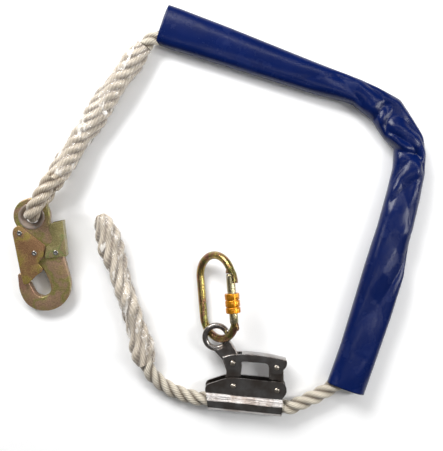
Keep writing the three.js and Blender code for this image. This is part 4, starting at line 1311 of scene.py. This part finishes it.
def orange_finish():
    """Orange dye under a clear anodic skin, darker in turning marks, rubbed pale in spots."""
    material, shader, flow = finish("orange_anodised", Coat_Weight=0.4, Coat_Roughness=0.15)
    place = flow.place()
    cloud = place.noise(130, 3.0)
    rub = place.noise(320, 4.0).above(0.6, 8)
    dye = cloud.mix(rgb(0.46, 0.155, 0.002), rgb(0.80, 0.33, 0.006))
    base = (rub * 0.4).mix(dye, rgb(1, 0.62, 0.12))
    varied(shader, flow, Base_Color=base, Metallic=(0.8 - rub * 0.2).clamped(),
           Roughness=0.24 + cloud * 0.15, Normal=relief(flow, place.noise(900, 2.0), 0.0002, 0.4))
    return material


fitted_piece("knurled_sleeve", sleeve_surface(), in_carabiner, "sleeve", "screw_sleeve",
             "orange_anodised", orange_finish(), 35)

# ---- snap hook forging ----
# A drop-forged steel hook, 10.4 mm thick: round eye, broad shank, open bow and nose. The flash is
# ground off, the edges are left rounded and the whole is yellow zinc plated.
HOOK_HALF = 5.2
EYE_HOLE = 13.0
LEVER_LAYER = (5.6, 7.0)
GATE_LAYER = (7.4, 8.8)
HOOK_GATE_PIVOT = (-15.5, -16.6)
HOOK_STOP = (-3.0, -41.4)
LEVER_PIVOT = (20.5, -44.1)

hook_joint = joint("hook_swing")
hook_z = np.array(hook_joint["axis"])
level = np.cross([0, 0, 1], hook_z)
hook_x = level / np.linalg.norm(level) * np.sign(level[0])
hook_turn = np.column_stack([hook_x, np.cross(hook_z, hook_x), hook_z])
hook_origin = np.array(hook_joint["pos_m"])


def in_hook(points):
    return placed(points, hook_turn, hook_origin)


forging = outline(
    (0, 0, 20.4, -26, 214), (-20.3, -16), (-17.6, -23), (-9, -45), (3.4, -62), (6.2, -72),
    (9, -82, 7.6, -87), (4, -93.6, -2.6, -93.6), (-9, -93, -11.6, -87), (-15.2, -76), (-21.5, -64.4),
    (-24.5, -61.8, -27, -65), (-28, -78), (-28, -91, -22.4, -99.5), (-14, -110.3, 1, -110.6),
    (16, -110, 24.6, -99), (32.6, -88, 30.3, -72), (28.2, -50), (24.5, -24))
HOOK_TINTS = ((0.38, 0.19, 0.15), (0.25, 0.28, 0.05), (0.45, 0.27, 0.20), (0.29, 0.33, 0.06))
HOOK_GOLD = (0.40, 0.28, 0.14)
forged_zinc = zinc_finish(
    "yellow_zinc_forging", HOOK_GOLD, HOOK_TINTS, rough=0.32, scale=17, metal=0.62, flecks=0.5)
forging_solid = plate(forging, -HOOK_HALF, HOOK_HALF, 1.1, [circle((0, 0), EYE_HOLE, 64)])
hook_body = fitted_piece("hook_forging", forging_solid, in_hook, "hook", "hook_body", "yellow_zinc",
                         forged_zinc)

# ---- hook gate and lock lever ----
# Pressed steel, 1.4 mm: each is two plates joined by a fold. The gate closes the bow and swings
# inward; the lever on the back of the shank has to be squeezed first.
gate_side = outline(
    (-23.4, -17), (-22.6, -8.6, -15, -8.4), (-12.5, -9.4, -10.6, -12.4), (9.2, -32.6),
    (10.3, -34, 9.8, -36), (6.6, -46), (1.5, -50.5, -0.6, -53.8), (3.4, -60.2), (2.2, -63.4),
    (-8, -68.4, -15.4, -75.4), (-21, -76), (-22.4, -62))
gate_fold = outline((-23.4, -17), (-22.0, -17), (-21.0, -62), (-22.4, -62))
lever_side = outline(
    (18.2, -13.4), (19.4, -10.6, 22.6, -10.4), (34, -9.6), (31.6, -50), (7.8, -49), (7.2, -46),
    (10.9, -36.4), (16.2, -34.6, 19, -28.4), (19.8, -23.6, 16.8, -18.6))
lever_fold = outline((32.6, -9.7), (34, -9.6), (31.6, -50), (30.2, -50))


def pressing(side, fold, layer):
    """Two plates mirrored about the middle plane and the fold that joins them."""
    near, far = layer
    return joined(plate(side, near, far, 0.45), plate(side, -far, -near, 0.45),
                  plate(fold, -far + 0.2, far - 0.2, 0.5))


GATE_TINTS = ((0.32, 0.15, 0.09), (0.42, 0.35, 0.06), (0.37, 0.20, 0.14), (0.32, 0.21, 0.12))
LEVER_TINTS = ((0.30, 0.26, 0.10), (0.24, 0.34, 0.10), (0.40, 0.28, 0.17), (0.52, 0.46, 0.22))
pressed_zinc = zinc_finish(
    "yellow_zinc_gate", (0.42, 0.27, 0.10), GATE_TINTS, rough=0.30, scale=24, metal=0.62, flecks=0.5)
lever_zinc = zinc_finish(
    "yellow_zinc_lever", (0.44, 0.37, 0.17), LEVER_TINTS, rough=0.30, scale=22, metal=0.62, flecks=0.5)
hook_gate = fitted_piece("gate_pressing", pressing(gate_side, gate_fold, GATE_LAYER), in_hook,
                         "hook_gate", "hook_gate", "yellow_zinc", pressed_zinc)
lock_lever = fitted_piece("lever_pressing", pressing(lever_side, lever_fold, LEVER_LAYER), in_hook,
                          "hook_lever", "lock_lever", "yellow_zinc", lever_zinc)

# ---- hook rivets and springs ----
# Plain steel rivets with a turned-in head, and two light springs.
def hollow_rivet(centre, half, head=2.9, height=1.0):
    """A rolled head: a rounded rim round a sunk centre, the same on both faces."""
    seat = half + 0.3
    top = [[0, seat + 0.35], [0.9, seat + 0.4], [1.5, seat + 0.95], [2.0, seat + height],
           [2.5, seat + height * 0.8], [head - 0.1, seat + height * 0.4], [head, seat + 0.1],
           [head - 0.1, seat]]
    low = [[r, -h] for r, h in top]
    return spun(low + [[2.5, -seat], [2.5, seat]] + top[::-1], centre, 36)


for name, centre, half, body in (("hook_gate_rivet", HOOK_GATE_PIVOT, GATE_LAYER[1], "hook"),
                                 ("hook_stop_rivet", HOOK_STOP, GATE_LAYER[1], "hook_gate"),
                                 ("lever_rivet", LEVER_PIVOT, LEVER_LAYER[1], "hook")):
    fitted_piece(name + "_rolled", hollow_rivet(centre, half), in_hook, body, name,
                                    "rivet_nickel", wire_steel, 45)
coil_seat = HOOK_HALF + 0.75
coil_leg = (HOOK_GATE_PIVOT[0] - 3.4, HOOK_GATE_PIVOT[1] - 9, coil_seat)
gate_wire = spring_wire((*HOOK_GATE_PIVOT, coil_seat), radius=4.2, wire=0.7, turns=1.25, pitch=0.75,
                        start=math.pi, legs=(coil_leg, None))
spring("hook_gate_coil", "hook_gate_spring", gate_wire, in_hook, "hook")
LEVER_COIL_SEAT = (24.4, -17, 0)
lever_points, lever_faces = spring_wire((0, 0, 0), radius=2.4, wire=0.7, turns=4, pitch=1.75)
lever_points = lever_points[:, [2, 1, 0]] * [1, 1, -1] + LEVER_COIL_SEAT
lever_coil = spring("lever_coil", "lever_spring", (lever_points, lever_faces), in_hook, "hook")
tuple(float(c) for c in in_hook(LEVER_COIL_SEAT))
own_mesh(lever_coil)

# ---- eye thimble ----
# A grey nylon liner snapped into the eye, with a lip on each face, so the rope doesn't chafe.
LIP = 14.7
INNER = 8.2


def thimble_profile():
    """A channel section: the inner wall curves out to a rounded lip above each face."""
    t = np.linspace(-1, 1, 15)
    wall = np.column_stack([INNER + 4.2 * np.abs(t) ** 2.2, t * (HOOK_HALF + 1.2)])
    lip = [[LIP - 0.5, HOOK_HALF + 1.2], [LIP, HOOK_HALF + 0.8], [LIP, HOOK_HALF + 0.3],
           [EYE_HOLE - 0.3, HOOK_HALF + 0.3]]
    low = [[r, -h] for r, h in lip]
    return np.vstack([low[::-1], wall, lip])


def nylon_finish():
    """Grey natural nylon, a little translucent, rubbed and marked."""
    material, shader, flow = finish("grey_nylon", Coat_Weight=0.3, Coat_Roughness=0.2,
                                    Subsurface_Weight=0.15, Subsurface_Scale=0.004)
    place = flow.place()
    cloud = place.noise(70, 4.0)
    rub = place.noise(500, 3.0)
    varied(shader, flow, Base_Color=cloud.mix(rgb(0.16, 0.12, 0.095), rgb(0.36, 0.29, 0.24)),
           Roughness=0.28 + rub * 0.2, Normal=relief(flow, rub, 0.0002, 0.4))
    return material


thimble_points, thimble_faces = spun(thimble_profile(), columns=72)
thimble_solid = (thimble_points, [f[::-1] for f in thimble_faces])
fitted_piece("eye_thimble_liner", thimble_solid, in_hook, "hook", "eye_thimble",
                                "grey_plastic", nylon_finish())

# ---- eye of the rope ----
# The rope's end goes over the eye's rim, down through it and back under, and into the splice.
LOOP_PLANE = math.radians(53)  # from the hook's x
LOOP_SIDE = [(50.5, 9), (42, 11.2), (30, 14.4), (20, 15.6), (11.6, 15.2), (5.2, 12.8), (2.3, 6.8)]
loop_profile = np.array([*LOOP_SIDE, (2.2, 0), *[(s, -h) for s, h in LOOP_SIDE[::-1]]])
loop_knots = np.column_stack([loop_profile[:, 0] * math.cos(LOOP_PLANE),
                              loop_profile[:, 0] * math.sin(LOOP_PLANE), loop_profile[:, 1]])
loop_line = route_curve(in_hook(loop_knots), step=0.0011)
loop_up = hook_turn @ np.array([math.sin(LOOP_PLANE), -math.cos(LOOP_PLANE), 0])
rope_eye = laid_rope("rope_eye", loop_line, ["eye_loop"], splice_rope, start=0.01, up=loop_up, swell=1.14)

# ---- table and light ----
# A plain pale table under soft studio light: a large softbox from the upper left, a smaller one
# from the right, and a grey room that polished steel mirrors as a dark tone.
def table_top():
    material, shader, flow = finish("table_top", Roughness=0.9, Specular_IOR_Level=0.1)
    grain = flow.place().noise(40, 2.0)
    varied(shader, flow, Base_Color=grain.mix(rgb(0.90, 0.90, 0.90), rgb(0.93, 0.93, 0.93)))
    half = 6.0
    mesh = bpy.data.meshes.new("table")
    mesh.from_pydata([(-half, -half, 0), (half, -half, 0), (half, half, 0), (-half, half, 0)],
                     [], [(0, 1, 2, 3)])
    mesh.materials.append(material)
    added("table", mesh)


def softbox(name, place, aim, size, watts):
    data = bpy.data.lights.new(name, "AREA")
    data.shape = "RECTANGLE"
    data.size, data.size_y = size
    data.energy = watts
    lamp = added(name, data)
    lamp.location = place
    lamp.rotation_euler = (Vector(aim) - Vector(place)).to_track_quat("-Z", "Y").to_euler()


def room(grey, strength):
    world = bpy.data.worlds.new("room")
    world.use_nodes = True
    background = world.node_tree.nodes["Background"]
    background.inputs["Color"].default_value = rgb(grey, grey, grey)
    background.inputs["Strength"].default_value = strength
    bpy.context.scene.world = world


table_top()
room(0.12, 1.0)
softbox("upper_left_softbox", (-0.75, 1.05, 0.85), (-0.03, 0.12, 0), (0.9, 0.5), 28)
softbox("right_softbox", (1.0, 0.25, 0.8), (0.05, 0.10, 0), (0.22, 0.9), 10)
softbox("overhead_strip", (0.05, 0.015, 1.15), (0.05, 0.0, 0), (1.0, 0.10), 1.4)
softbox("back_strip", (0.20, 0.86, 1.10), (0.02, 0.31, 0.02), (1.2, 0.11), 3.5)
bpy.context.scene.view_settings.view_transform = "Standard"
